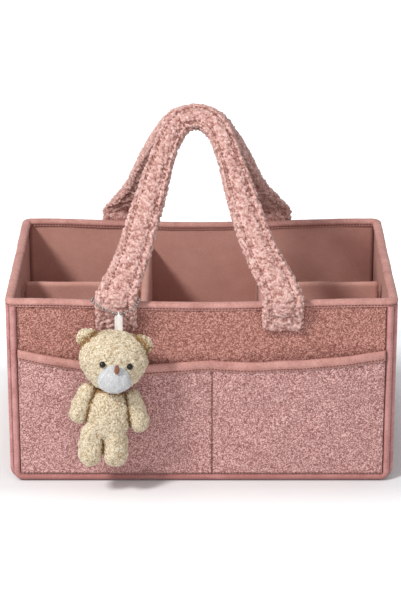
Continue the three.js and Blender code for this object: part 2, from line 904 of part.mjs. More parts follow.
/** Stuffed form standing along z, fuller or leaner where its table says. */
function plushForm({ width, depth, length, sides, fullness, extra = 0 }) {
  const ring = (along, radius) =>
    Array.from({ length: sides }, (unused, i) => {
      const angle = (2 * Math.PI * i) / sides;
      const x = (width / 2 + extra) * radius * Math.cos(angle);
      const y = (depth / 2 + extra) * radius * Math.sin(angle);
      return new THREE.Vector3(x, y, along * (length / 2 + extra));
    });
  const rings = blobStationShares.map((along) => {
    const round = Math.pow(1 - Math.pow(Math.abs(along), plumpness), 1 / plumpness);
    return ring(along, round * smoothTable(fullness, along));
  });
  const tip = length / 2 + extra;
  return loftBlob(rings, new THREE.Vector3(0, 0, -tip), new THREE.Vector3(0, 0, tip));
}

const headShares = [
  [-1, 0.72],
  [-0.5, 0.86],
  [0, 1],
  [0.5, 1.04],
  [1, 1.06],
];
const torsoShares = [
  [-1, 1.08],
  [-0.4, 1.05],
  [0.3, 0.92],
  [1, 0.8],
];
const limbShares = [
  [-1, 1.12],
  [-0.4, 1],
  [0.3, 0.9],
  [1, 1],
];
const muzzleShares = [
  [-1, 1.08],
  [-0.4, 1.04],
  [0.3, 0.9],
  [1, 0.72],
];
const evenShares = [
  [-1, 1],
  [1, 1],
];

/** Places of the bear's pieces from the middle of its head, as shares of the head's width, depth and height. */
const bearPlaceShares = {
  torso: [-0.085, 0.03, -0.88],
  leftArm: [-0.455, 0, -0.69],
  rightArm: [0.33, 0, -0.83],
  leftLeg: [-0.335, 0, -1.36],
  rightLeg: [0.01, 0, -1.365],
  leftEar: [-0.365, 0.05, 0.375],
  rightEar: [0.41, 0.05, 0.258],
  muzzle: [0.02, -0.44, -0.175],
  nose: [0.065, -0.645, 0.035],
  leftEye: [-0.145, -0.46, 0.078],
  rightEye: [0.249, -0.44, 0.035],
};

/** Turns of the bear's pieces about the front-to-back axis, in degrees. */
const bearTurns = {
  head: 4,
  torso: 3,
  leftArm: 20,
  rightArm: -12,
  leftLeg: 10,
  rightLeg: -2,
  leftEar: -40,
  rightEar: 50,
};

function bearCentre() {
  return new THREE.Vector3(charmPlace, -(charmBack + headDepth / 2), bodyHeight - charmDrop);
}

/** Puts a piece of the bear in its place. */
function placeBear(geometry, name) {
  const [x, y, z] = bearPlaceShares[name] ?? [0, 0, 0];
  const centre = bearCentre();
  geometry.rotateY(THREE.MathUtils.degToRad(bearTurns[name] ?? 0));
  geometry.translate(centre.x + x * headWidth, centre.y + y * headDepth, centre.z + z * headHeight);
  return geometry;
}

function bearPart(name, extra) {
  const forms = {
    head: { width: headWidth, depth: headDepth, length: headHeight, sides: 16, fullness: headShares },
    torso: { width: torsoWidth, depth: torsoDepth, length: torsoHeight, sides: 12, fullness: torsoShares },
    leftArm: { width: armWidth, depth: armWidth, length: armLength, sides: 10, fullness: limbShares },
    rightArm: { width: armWidth, depth: armWidth, length: armLength, sides: 10, fullness: limbShares },
    leftLeg: { width: legWidth, depth: legWidth, length: legLength, sides: 10, fullness: limbShares },
    rightLeg: { width: legWidth, depth: legWidth, length: legLength, sides: 10, fullness: limbShares },
    leftEar: { width: earWidth, depth: earThickness, length: earWidth, sides: 10, fullness: evenShares },
    rightEar: { width: earWidth, depth: earThickness, length: earWidth, sides: 10, fullness: evenShares },
    muzzle: { width: muzzleWidth, depth: muzzleDepth, length: muzzleHeight, sides: 12, fullness: muzzleShares },
    nose: { width: noseWidth, depth: noseWidth, length: noseHeight, sides: 8, fullness: evenShares },
    leftEye: { width: eyeDiameter, depth: eyeDiameter, length: eyeDiameter, sides: 8, fullness: evenShares },
    rightEye: { width: eyeDiameter, depth: eyeDiameter, length: eyeDiameter, sides: 8, fullness: evenShares },
  };
  return placeBear(plushForm({ ...forms[name], extra }), name);
}

function buildBear() {
  const whole = (name) => bearPart(name, 0);
  const cutter = (name) => bearPart(name, seatGap);
  const head = cutAway(whole("head"), [cutter("muzzle")]);
  const eye = (name) => cutAway(whole(name), [cutter("head"), cutter("muzzle")]);
  return [
    piece("bear_head", head, materials.plush),
    piece("bear_left_ear", cutAway(whole("leftEar"), [cutter("head")]), materials.plush),
    piece("bear_right_ear", cutAway(whole("rightEar"), [cutter("head")]), materials.plush),
    piece("bear_muzzle", whole("muzzle"), materials.muzzle),
    piece("bear_nose", cutAway(whole("nose"), [cutter("muzzle")]), materials.thread),
    piece("bear_left_eye", eye("leftEye"), materials.eye),
    piece("bear_right_eye", eye("rightEye"), materials.eye),
    piece("bear_body", cutAway(whole("torso"), [cutter("head"), cutter("muzzle")]), materials.plush),
    piece("bear_left_arm", cutAway(whole("leftArm"), [cutter("torso"), cutter("head")]), materials.plush),
    piece("bear_right_arm", cutAway(whole("rightArm"), [cutter("torso"), cutter("head")]), materials.plush),
    piece("bear_left_leg", cutAway(whole("leftLeg"), [cutter("torso")]), materials.plush),
    piece("bear_right_leg", cutAway(whole("rightLeg"), [cutter("torso"), cutter("leftLeg")]), materials.plush),
  ];
}

/** Ribbon loop: a long ring seen from the side, gathered where it hangs on the chain. */
function buildSatinLoop() {
  const top = chainHeight + ballDiameter / 2 + ribbonSeat + ribbonThickness;
  const upper = top - ribbonDepth / 2;
  const lower = top - ribbonHeight + ribbonDepth / 2;
  const outline = (half) => [
    ...arcPoints(0, upper, half, 0, 0.5 * Math.PI),
    ...arcPoints(0, upper, half, 0.5 * Math.PI, Math.PI).slice(1),
    [-half, THREE.MathUtils.lerp(upper, lower, 0.35)],
    ...arcPoints(0, lower, half, Math.PI, 1.5 * Math.PI),
    ...arcPoints(0, lower, half, 1.5 * Math.PI, 2 * Math.PI).slice(1),
    [half, THREE.MathUtils.lerp(upper, lower, 0.35)],
  ];
  const inside = outline(ribbonDepth / 2 - ribbonThickness);
  const outside = outline(ribbonDepth / 2);
  const rings = inside.map((inner, i) => {
    const open = THREE.MathUtils.smoothstep(top - inner[1], ribbonDepth / 2, ribbonHeight / 2);
    const half = THREE.MathUtils.lerp(ribbonGather, ribbonWidth, open) / 2;
    const corner = (x, [y, z]) => new THREE.Vector3(ribbonPlace + x, y - chainFront, z);
    return [corner(-half, inner), corner(half, inner), corner(half, outside[i]), corner(-half, outside[i])];
  });
  const loop = loftRings(rings, [], true);
  return piece("satin_loop", cutAway(loop, [bearPart("head", seatGap)]), materials.satin);
}

/** Chain's route round the foot of the strap, as shares of its half width, half depth and rise. */
const chainRouteShares = [
  [0.134, 1, 0],
  [-0.28, 0.97, 0.25],
  [-0.75, 0.8, 0.75],
  [-1, 0.3, 1],
  [-1, -0.35, 1],
  [-0.72, -1, 0.9],
  [0, -1, 0.9],
  [0.72, -1, 0.9],
  [1, -0.35, 1],
  [1, 0.3, 1],
  [0.9, 0.8, 0.75],
  [0.54, 0.97, 0.25],
];

function buildBallChain() {
  const halfWidth = footWidth / 2 + (ballDiameter + chainClearance) / 2;
  const chainBack = footBack - ballDiameter / 2 - seatGap;
  const halfDepth = (chainFront - chainBack) / 2;
  const rise = footTop - 2 * ballDiameter - chainHeight;
  const route = chainRouteShares.map(([u, v, up]) => {
    const y = -(chainFront + chainBack) / 2 - v * halfDepth;
    return new THREE.Vector3(leftFootPlace + u * halfWidth, y, chainHeight + up * rise);
  });
  const curve = new THREE.CatmullRomCurve3(route, true, "centripetal");
  const balls = Math.round(curve.getLength() / ballPitch);
  const stepsPerBall = 3;
  const sides = 6;
  const upright = new THREE.Vector3(0, 0, 1);
  const rings = Array.from({ length: balls * stepsPerBall }, (unused, i) => {
    const share = i / (balls * stepsPerBall);
    const centre = curve.getPointAt(share);
    const tangent = curve.getTangentAt(share);
    const across = tangent.clone().cross(upright).normalize();
    const over = across.clone().cross(tangent).normalize();
    const radius = i % stepsPerBall === 0 ? wireDiameter / 2 : ballDiameter / 2;
    return Array.from({ length: sides }, (also, j) => {
      const angle = (2 * Math.PI * j) / sides;
      return centre
        .clone()
        .addScaledVector(across, radius * Math.cos(angle))
        .addScaledVector(over, radius * Math.sin(angle));
    });
  });
  return piece("ball_chain", loftRings(rings, [], true), materials.steel);
}

// Assembly

/** Everything on the front wall, or on the back wall when turned round. */
function buildFace(side) {
  const face = new THREE.Group();
  const names = side === "front" ? ["left", "right"] : ["right", "left"];
  face.add(...buildFrontLayers(side));
  face.add(buildPanelBead(`${side}_edge_binding`));
  face.add(buildGussetBead(`gusset_${side}_binding`));
  face.add(...buildPocket(side, frontPocketOptions()));
  const { shift } = handleForms[side];
  face.add(buildFoot(`${side}_${names[0]}_foot`, shift - footSpacing / 2));
  face.add(buildFoot(`${side}_${names[1]}_foot`, shift + footSpacing / 2));
  face.add(...buildHandle(side));
  return face;
}

const caddy = new THREE.Group();
caddy.name = "diaper_caddy";
caddy.add(buildGusset());
caddy.add(...buildBase());
caddy.add(buildRimBinding());

const front = buildFace("front");
const back = buildFace("back");
back.rotation.z = Math.PI;
caddy.add(front, back);

for (const [side, sign] of [["left", -1], ["right", 1]]) {
  caddy.add(...buildSideLayers(side, sign));
}

caddy.add(...buildLongDivider("left", leftDividerPlace));
caddy.add(...buildLongDivider("right", rightDividerPlace));
caddy.add(...buildCrossDivider("left", -rimInner, leftDividerPlace - dividerThickness / 2));
caddy.add(...buildCrossDivider("right", rightDividerPlace + dividerThickness / 2, rimInner));

caddy.add(...buildBear());
caddy.add(buildSatinLoop());
caddy.add(buildBallChain());

export default caddy;
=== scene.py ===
# %% [markdown]
# # A fleece diaper caddy
# The caddy is a stiff-walled box covered in curly fleece, with smooth tape on every edge, pockets
# outside, felt dividers inside, two padded straps and a small plush bear on a ball chain.
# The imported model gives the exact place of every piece. This lesson dresses it: each fabric piece
# is built again with its pile, seams and stitches, in metres and in the same frame, so that
# nothing needs fitting. Blender's noise starts from the clock unless it has a seed, so it gets
# one here.

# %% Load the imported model
import math

import bmesh
import bpy
from mathutils import Matrix, Vector, noise


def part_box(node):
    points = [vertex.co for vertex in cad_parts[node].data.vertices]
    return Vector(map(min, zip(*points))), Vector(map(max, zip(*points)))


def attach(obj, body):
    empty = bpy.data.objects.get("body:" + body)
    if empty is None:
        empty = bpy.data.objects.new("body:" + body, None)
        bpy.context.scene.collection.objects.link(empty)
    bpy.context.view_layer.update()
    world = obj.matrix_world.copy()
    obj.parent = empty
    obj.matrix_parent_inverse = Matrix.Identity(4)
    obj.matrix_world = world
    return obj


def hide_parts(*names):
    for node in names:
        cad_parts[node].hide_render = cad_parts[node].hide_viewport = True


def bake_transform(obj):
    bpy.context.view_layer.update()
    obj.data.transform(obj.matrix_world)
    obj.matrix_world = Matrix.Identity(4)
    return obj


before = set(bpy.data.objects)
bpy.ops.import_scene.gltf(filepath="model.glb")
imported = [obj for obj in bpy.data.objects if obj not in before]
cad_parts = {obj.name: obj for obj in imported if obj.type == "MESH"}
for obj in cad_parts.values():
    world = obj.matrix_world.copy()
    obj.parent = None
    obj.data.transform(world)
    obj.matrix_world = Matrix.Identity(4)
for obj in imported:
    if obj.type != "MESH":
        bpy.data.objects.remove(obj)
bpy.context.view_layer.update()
NOISE_SEED = 7
noise.seed_set(NOISE_SEED)

# %% [markdown]
# ## Writing shaders as sums
# A material is a graph of nodes. It reads better as arithmetic, so `Value` wraps one socket and
# lets Python's own operators add the Math nodes. `Shader` holds one node tree and adds any other
# node with a single method, which gives back the outputs that are named, with a slash between
# them.

# %% Shader helpers
class Value:
    """One shader value. Arithmetic on it adds Math nodes."""

    def __init__(self, shader, socket):
        self.shader, self.socket = shader, socket

    def combine(self, operation, first, second):
        settings = {"operation": operation}
        return self.shader.node("ShaderNodeMath", "Value", settings, {0: first, 1: second})

    def __add__(self, other):
        return self.combine("ADD", self, other)

    def __mul__(self, other):
        return self.combine("MULTIPLY", self, other)

    def __sub__(self, other):
        return self.combine("SUBTRACT", self, other)

    def __rsub__(self, other):
        return self.combine("SUBTRACT", other, self)

    __radd__, __rmul__ = __add__, __mul__

    def larger(self, other):
        return self.combine("MAXIMUM", self, other)

    def size(self):
        return self.combine("ABSOLUTE", self, 0.0)

    def clamped(self):
        return self.combine("MINIMUM", self.larger(0.0), 1.0)


class Shader:
    """The node tree of a material or of the world."""

    def __init__(self, owner):
        owner.use_nodes = True
        self.owner, self.tree = owner, owner.node_tree

    def node(self, kind, outputs, settings=None, sockets=None):
        made = self.tree.nodes.new(kind)
        for key, value in (settings or {}).items():
            if key == "stops":
                ramp = made.color_ramp.elements
                while len(ramp) < len(value):
                    ramp.new(0.5)
                for element, (place, color) in zip(ramp, value):
                    element.position, element.color = place, (*color, 1.0)
            else:
                setattr(made, key, value)
        for key, value in (sockets or {}).items():
            self.feed(made.inputs[key], value)
        found = [Value(self, made.outputs[name]) for name in outputs.split("/")]
        return found if len(found) > 1 else found[0]

    def feed(self, socket, value):
        if isinstance(value, Value):
            self.tree.links.new(value.socket, socket)
        else:
            socket.default_value = value

    def set(self, **sockets):
        surface = self.tree.nodes["Principled BSDF"]
        for key, value in sockets.items():
            self.feed(surface.inputs[key.replace("_", " ")], value)

    def place(self):
        return self.node("ShaderNodeTexCoord", "Object")

    def split(self):
        return self.node("ShaderNodeSeparateXYZ", "X/Y/Z", None, {"Vector": self.place()})

    def beyond(self, half_x, half_y, near, far):
        """0 close to a box on the ground and 1 far from it."""
        x, y, _ = self.split()
        out = (x.size() - half_x).larger(y.size() - half_y)
        return ((out - near) * (1 / (far - near))).clamped()

    def ray_seen(self):
        """1 for what the eye sees straight, in a mirror or through glass, 0 for light on things."""
        kinds = "Is Camera Ray/Is Glossy Ray/Is Transmission Ray"
        straight, mirrored, through = self.node("ShaderNodeLightPath", kinds)
        return straight.larger(mirrored).larger(through)

    def grain(self, scale, detail=2.0, roughness=0.6):
        sockets = {"Vector": self.place(), "Scale": scale, "Detail": detail, "Roughness": roughness}
        return self.node("ShaderNodeTexNoise", "Fac", None, sockets)

    def locks(self, size, bend=1.1):
        """Distance to the nearest crease between locks of pile, from 0 in it to about 0.5."""
        place = self.place()
        sockets = {"Vector": place, "Scale": 0.8 / size, "Detail": 1.0}
        push = self.node("ShaderNodeTexNoise", "Color", None, sockets)
        sockets = {0: push, 1: [bend * size] * 3, 2: place}
        bent = self.node("ShaderNodeVectorMath", "Vector", {"operation": "MULTIPLY_ADD"}, sockets)
        sockets = {"Vector": bent, "Scale": 1 / size}
        settings = {"feature": "DISTANCE_TO_EDGE"}
        return self.node("ShaderNodeTexVoronoi", "Distance", settings, sockets)

    def curls(self, size):
        """Winding strokes of pile: 0 in the dark lines between them, 1 on a stroke."""
        return ((self.grain(0.62 / size, 1.5, 0.5) - 0.5).size() * 8).clamped()

    def ramp(self, value, *stops):
        return self.node("ShaderNodeValToRGB", "Color", {"stops": stops}, {"Fac": value})

    def bump(self, height, strength, distance):
        sockets = {"Height": height, "Strength": strength, "Distance": distance}
        self.set(Normal=self.node("ShaderNodeBump", "Normal", None, sockets))


def linear(color):
    """A color read off a picture, from 0 to 255, as the linear light that shaders use."""
    shares = [channel / 255 for channel in color]
    return tuple(s / 12.92 if s <= 0.04045 else ((s + 0.055) / 1.055) ** 2.4 for s in shares)

# %% [markdown]
# ## Fleece, plush and boucle
# Curly fleece is a mat of small locks. Its color carries painted light where they stand up and
# painted shade in the gaps between them. The pile itself is modelled, and each vertex keeps its
# height in an attribute called `pile`, so the painted shade can follow the real bumps as well as a
# pattern. A fine noise bump adds the smallest fibres.

# %% Pile materials
def pile_material(name, dark, middle, light, lock, modelled=0.15, curly=0.6):
    """Pile with locks of a size. modelled is how much its shade follows the mesh's own pile."""
    shader = Shader(bpy.data.materials.new(name))
    standing = shader.node("ShaderNodeAttribute", "Fac", {"attribute_name": "pile"})
    # Painted light and shade: the tone is light on the tops of locks and where the mesh's pile
    # stands high, and dark in the gaps between locks and where the pile is low.
    tops = shader.curls(lock) * curly + (shader.locks(lock) * 3.0).clamped() * (1 - curly)
    speckle = shader.grain(1.6 / lock, 2)
    shade = (tops * (0.95 - modelled) + standing * modelled + speckle * 0.6 - 0.26).clamped()
    stops = (0.06, linear(dark)), (0.42, linear(middle)), (0.85, linear(light))
    shader.set(Base_Color=shader.ramp(shade, *stops))
    shader.set(Roughness=1.0, Sheen_Weight=0.08, Sheen_Roughness=0.5)
    shader.bump(tops + shader.grain(3.0 / lock, 2, 0.7) * 0.5, 0.7, lock * 0.3)
    return shader.owner


pocket_fleece = pile_material(
    "pocket_fleece", (80, 32, 30), (176, 125, 121), (234, 193, 188), 0.0013
)
panel_fleece = pile_material(
    "panel_fleece", (76, 30, 25), (160, 104, 93), (214, 160, 148), 0.0013
)
strap_boucle = pile_material(
    "strap_boucle", (128, 72, 62), (203, 157, 148), (240, 207, 199), 0.0026, 0.5, 0.4
)
bear_plush = pile_material(
    "bear_plush", (130, 95, 52), (202, 184, 154), (238, 229, 209), 0.0014, 0.35
)
muzzle_plush = pile_material(
    "muzzle_plush", (160, 160, 160), (192, 192, 193), (214, 215, 217), 0.0012, 0.2
)

# %% [markdown]
# ## Tape, felt and thread
# The binding tape is smooth woven cloth: a very fine twill and a little unevenness in tone. The
# felt has a short fuzz and no visible weave. Thread is twisted, so a fine grain is enough at this
# size.

# %% Smooth materials
# Height below which the bead tape gets painted shade.
FLOOR_SHADE_HEIGHT = 0.012


def tape_material(name, dark, light, floor_shade=0.0):
    """Woven tape. floor_shade is painted shade: it darkens the tape by that share down at the
    floor.
    """
    shader = Shader(bpy.data.materials.new(name))
    sockets = {"Vector": shader.place(), "Scale": 520.0, "Distortion": 1.5, "Detail": 1.0}
    weave = shader.node("ShaderNodeTexWave", "Fac", {"bands_direction": "DIAGONAL"}, sockets)
    tone = (shader.grain(60, 3) * 0.5 + shader.grain(640, 2) * 0.5).clamped()
    # Painted shade: the tape darkens towards the floor, below a set height.
    lifted = (shader.split()[2] * (1 / FLOOR_SHADE_HEIGHT)).clamped()
    shade = tone * (lifted * floor_shade + (1 - floor_shade))
    shader.set(Base_Color=shader.ramp(shade, (0.34, linear(dark)), (0.66, linear(light))))
    shader.set(Roughness=0.8, Sheen_Weight=0.05)
    shader.bump(weave * 0.5 + shader.grain(260, 3), 0.35, 0.0004)
    return shader.owner


def felt_material(name, dark, light):
    shader = Shader(bpy.data.materials.new(name))
    tone = (shader.grain(35, 3) * 0.5 + shader.grain(520, 4, 0.75) * 0.5).clamped()
    shader.set(Base_Color=shader.ramp(tone, (0.32, linear(dark)), (0.68, linear(light))))
    shader.set(Roughness=0.95, Sheen_Weight=0.05)
    shader.bump(shader.grain(900, 4, 0.8) + shader.grain(90, 2) * 0.6, 0.4, 0.0005)
    return shader.owner


def plain_material(name, dark, light, roughness=0.8, scale=900.0, metallic=0.0, gloss=0.5):
    """Thread, ribbon, board, metal or plastic with a grain of the given scale."""
    shader = Shader(bpy.data.materials.new(name))
    tone = shader.grain(scale, 3)
    rough = tone * 0.08 + (roughness - 0.04)
    shader.set(Base_Color=shader.ramp(tone, (0.3, linear(dark)), (0.7, linear(light))))
    shader.set(Metallic=metallic, Roughness=rough, Specular_IOR_Level=gloss)
    shader.bump(shader.grain(scale * 6, 2), 0.15, 0.0002)
    return shader.owner


binding_tape = tape_material("binding_tape", (164, 111, 102), (206, 154, 145))
# The bead tape runs along the floor and gets painted shade there.
bead_tape = tape_material("bead_tape", (160, 103, 98), (204, 150, 147), 0.4)
lining_felt = felt_material("lining_felt", (180, 128, 116), (200, 150, 138))
divider_felt = felt_material("divider_felt", (184, 132, 120), (204, 154, 142))
hook_tape = felt_material("hook_tape", (186, 142, 134), (206, 164, 156))
wall_board = plain_material("wall_board", (206, 198, 188), (222, 214, 204), 0.8, 80.0)
# Dark thread: its dark color is painted shade of the grooves the stitches lie in.
groove_shaded_thread = plain_material("groove_shaded_thread", (92, 46, 40), (126, 72, 64))
# Strap thread: darker than the boucle, painted shade of the grooves the stitching presses into the
# strap.
groove_shaded_strap_thread = plain_material("groove_shaded_strap_thread", (126, 74, 65), (160, 104, 94))
pale_thread = plain_material("pale_thread", (186, 138, 130), (222, 178, 170))
nose_thread = plain_material("nose_thread", (112, 68, 46), (158, 106, 78), 0.6, 700.0)
white_satin = plain_material("white_satin", (222, 216, 214), (244, 240, 238), 0.35, 120.0)
chain_steel = plain_material("chain_steel", (120, 114, 110), (158, 154, 150), 0.34, 300.0, 1.0)
bead_black = plain_material("bead_black", (12, 9, 8), (22, 17, 15), 0.16, 300.0, gloss=0.25)
print("materials:", len(bpy.data.materials))

# %% [markdown]
# ## Building surfaces from a grid
# Nearly every piece here is a sheet or a tube, and both start as one flat grid. A grid operator
# makes it, each vertex is moved to its place on the piece, meeting edges are welded, and open
# ends are filled. A thick sheet is a grid whose edge is drawn back, or two grids joined round the
# edge.

# %% Grid surfaces
def edges_open(bm):
    return [edge for edge in bm.edges if edge.is_boundary]


def only_verts(items):
    return [item for item in items if isinstance(item, bmesh.types.BMVert)]


def grid_surface(across, along, place, wrap=False, capped=False):
    """A grid bent into shape. place(u, v) gives the point for shares u and v from 0 to 1."""
    bm = bmesh.new()
    bmesh.ops.create_grid(bm, x_segments=across, y_segments=along, size=0.5)
    for vert in bm.verts:
        vert.co = place(vert.co.x + 0.5, vert.co.y + 0.5)
    if wrap:
        edge_verts = [vert for vert in bm.verts if vert.is_boundary]
        bmesh.ops.remove_doubles(bm, verts=edge_verts, dist=1e-6)
    if capped:
        bmesh.ops.holes_fill(bm, edges=edges_open(bm), sides=0)
    bmesh.ops.recalc_face_normals(bm, faces=bm.faces)
    return bm


def backed(bm, shift):
    """Closes an open sheet: its edge is drawn back by a shift, and the back is filled."""
    made = bmesh.ops.extrude_edge_only(bm, edges=edges_open(bm))["geom"]
    bmesh.ops.translate(bm, verts=only_verts(made), vec=shift)
    bmesh.ops.holes_fill(bm, edges=edges_open(bm), sides=0)
    bmesh.ops.recalc_face_normals(bm, faces=bm.faces)
    return bm


def doubled(bm, inward):
    """Closes an open sheet with a copy of itself, each point of it moved by inward(point)."""
    everything = list(bm.verts) + list(bm.edges) + list(bm.faces)
    for vert in only_verts(bmesh.ops.duplicate(bm, geom=everything)["geom"]):
        vert.co += inward(vert.co)
    bmesh.ops.bridge_loops(bm, edges=edges_open(bm))
    bmesh.ops.recalc_face_normals(bm, faces=bm.faces)
    return bm


def batched(items, count, add):
    """Many small shapes, made in short batches, which keeps the operators quick."""
    bm = bmesh.new()
    for first in range(0, len(items), count):
        batch = bmesh.new()
        for item in items[first:first + count]:
            add(batch, item)
        mesh = bpy.data.meshes.new("batch")
        batch.to_mesh(mesh)
        batch.free()
        bm.from_mesh(mesh)
        bpy.data.meshes.remove(mesh)
    return bm


def finished(bm, name, material, body, nodes=()):
    """Turns a bmesh into a named piece that rides on a body and stands for CAD nodes."""
    mesh = bpy.data.meshes.new(name)
    for face in bm.faces:
        face.smooth = True
    bm.to_mesh(mesh)
    bm.free()
    piece = bpy.data.objects.new(name, mesh)
    bpy.context.scene.collection.objects.link(piece)
    mesh.materials.append(material)
    if body:
        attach(piece, body)
    if nodes:
        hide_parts(*nodes)
    return piece

# %% [markdown]
# ## Pile
# Fleece locks lie side by side like cells. The distance to the middle of the nearest cell gives
# each lock its rounded top and the crease round it. Every vertex moves out along its normal by
# that height, and keeps it for the color, which gets painted shade where the pile is low.

# %% Pile and soft unevenness
# Size of a lock and height of the pile, in metres.
PANEL_PILE, GUSSET_PILE, POCKET_PILE = (0.0030, 0.0009), (0.0038, 0.0011), (0.0030, 0.0010)
STRAP_PILE, BEAR_PILE, MUZZLE_PILE = (0.0034, 0.0027), (0.0021, 0.0012), (0.0011, 0.0003)
# In lock sizes: how far a lock reaches from its middle, and how far places are pushed about.
LOCK_REACH, LOCK_BEND = 0.72, 0.35


def lock_height(point, size):
    """Height of a lock of pile at a point: 0 between locks, near 1 on top of a round lock."""
    place = point / size
    bent = place + noise.noise_vector(place * 0.7) * LOCK_BEND
    distance = noise.voronoi(bent)[0][0]
    rounded = max(0.0, 1 - (distance / LOCK_REACH) ** 2)
    return rounded * (0.85 + 0.3 * noise.noise(place * 0.45))


def grow_pile(bm, pile, where=None, sink=0.45, crease_shade=None):
    """Moves each vertex out by the height of its lock and keeps that height for the color, where a
    low or pressed lock gets painted shade. crease_shade adds painted shade beside a crease.
    """
    size, height = pile
    layer = bm.verts.layers.float.new("pile")
    bm.normal_update()
    normals = [vert.normal.copy() for vert in bm.verts]
    for vert, normal in zip(bm.verts, normals):
        share = lock_height(vert.co, size)
        keep = where(vert.co, normal) if where else 1.0
        # The kept height sets the pile's painted shade: pressed pile and creases make it darker.
        vert[layer] = share * keep - (crease_shade(vert.co) if crease_shade else 0)
        vert.co += normal * height * (share - sink) * keep


def ripple(point, length, depth):
    """Gentle unevenness of soft cloth."""
    return noise.noise(point / length) * depth


def smoothstep(value, low, high):
    share = min(max((value - low) / (high - low), 0.0), 1.0)
    return share * share * (3 - 2 * share)


def smooth_table(table, place):
    """Reads a smooth curve through a table of place and value pairs."""
    last = len(table) - 2
    index = next((i for i in range(last + 1) if place <= table[i + 1][0]), last)

    def slope(i):
        before, after = table[max(i - 1, 0)], table[min(i + 1, len(table) - 1)]
        return (after[1] - before[1]) / (after[0] - before[0])

    (x0, y0), (x1, y1) = table[index], table[index + 1]
    span = x1 - x0
    t = min(max((place - x0) / span, 0.0), 1.0)
    rise = y0 + (y1 - y0) * t * t * (3 - 2 * t)
    start_pull = t * (1 - t) ** 2 * span * slope(index)
    end_pull = t * t * (t - 1) * span * slope(index + 1)
    return rise + start_pull + end_pull

# %% [markdown]
# ## Sizes
# These are the model's own sizes, in metres. The front of the caddy faces -Y, and the back is the
# same panel turned round, so one set of numbers makes both.

# %% Sizes
CLEAR = 0.0003
RIM_HALF_X, RIM_HALF_Y, RIM_CORNER = 0.1899, 0.1241, 0.009
RIM_TOP, RIM_SAG, RIM_TAPE = 0.192, 0.004, 0.007
FACE_Y, SIDE_X = 0.1226, 0.1884
PANEL_HALF, PANEL_LOW, PANEL_TOP = 0.1787, 0.0079, RIM_TOP - 0.0015
PANEL_THICK, POCKET_THICK = 0.0019, 0.0018
GUSSET_HALF, GUSSET_ROUND = 0.1136, 0.0104
SEAM_X = 0.010
TAPE_WAVE = (0.005, 0.00025)
FINE = 1.0
FACES = {"front": Matrix.Identity(4), "back": Matrix.Rotation(math.pi, 4, "Z")}


def sag(x):
    """How far the top edge of the front and back dips at x."""
    share = min(abs(x) / (RIM_HALF_X - RIM_CORNER), 1.0)
    return RIM_SAG * (1 + math.cos(math.pi * share)) / 2


def under_rim_tape(point, dip):
    """1 on the wall below the rim tape, 0 under the tape."""
    tape_low = RIM_TOP - RIM_TAPE - dip
    return 1 - smoothstep(point.z, tape_low - 0.002, tape_low)


def turned(bm, turn):
    bmesh.ops.transform(bm, matrix=turn, verts=bm.verts)
    return bm


def line_length(points):
    return sum((there - here).length for here, there in zip(points, points[1:]))

# %% [markdown]
# ## Stitches
# A sewn line shows as a row of short thread capsules, each sunk a little in the cloth. One low
# sphere is stretched along the seam for every stitch.

# %% Stitch rows
STITCH_PITCH, STITCH_LENGTH, STITCH_WIDTH = 0.0032, 0.0027, 0.0010


def aimed(place, direction, axis, up):
    """The matrix that moves a shape to a place and turns its axis along a direction."""
    return Matrix.Translation(place) @ direction.to_track_quat(axis, up).to_matrix().to_4x4()


def stitch_row(path, length=STITCH_LENGTH, width=STITCH_WIDTH):
    """One capsule for each (place, direction) pair of a path."""
    scale = Matrix.Diagonal((length / 2, width / 2, width / 2, 1))

    def add(batch, pair):
        matrix = aimed(*pair, "X", "Z") @ scale
        bmesh.ops.create_uvsphere(batch, u_segments=6, v_segments=5, radius=1, matrix=matrix)

    return batched(path, 40, add)


def spaced(points, pitch=STITCH_PITCH):
    """Even places along a line of points, each with its direction."""
    found = []
    left = pitch / 2
    for here, there in zip(points, points[1:]):
        step = there - here
        span = step.length
        while left <= span and span > 0:
            found.append((here + step * (left / span), step.normalized()))
            left += pitch
        left -= span
    return found


def sewn(bm, name, thread=groove_shaded_thread, body="caddy"):
    return finished(bm, name, thread, body)

# %% [markdown]
# ## Front and back panels
# Each panel is one flat piece of fleece with a short curly pile. It runs from the rolled tape at
# the bottom up into the rim tape. The pile is pressed flat where the rim tape and the pocket hold
# it.

# %% Panels
def panel_place(u, v):
    x = (2 * u - 1) * PANEL_HALF
    return Vector((x, -FACE_Y, PANEL_LOW + (PANEL_TOP - sag(x) - PANEL_LOW) * v))


def panel_pile(point, normal):
    under_pocket = 0.25 + 0.75 * smoothstep(point.z, 0.085, 0.110)
    return under_rim_tape(point, sag(point.x)) * under_pocket


for side, turn in FACES.items():
    bm = grid_surface(int(250 / FINE), int(122 / FINE), panel_place)
    grow_pile(bm, PANEL_PILE, panel_pile)
    backed(bm, (0, PANEL_THICK, 0))
    name, node = f"{side}_panel_fleece", f"{side}_fleece"
    piece = finished(turned(bm, turn), name, panel_fleece, "caddy", [node])
    cut = (PANEL_HALF * 2, PANEL_TOP - PANEL_LOW)
    area = cut[0] * (cut[1] - RIM_SAG / 2)
print("panels made")

# %% [markdown]
# ## The gusset
# One strip of fleece runs down the left side, under the base and up the right side. Its rows lie
# close together on the sides, where they are seen, and further apart under the base, which stays
# flat so that the caddy stands well.

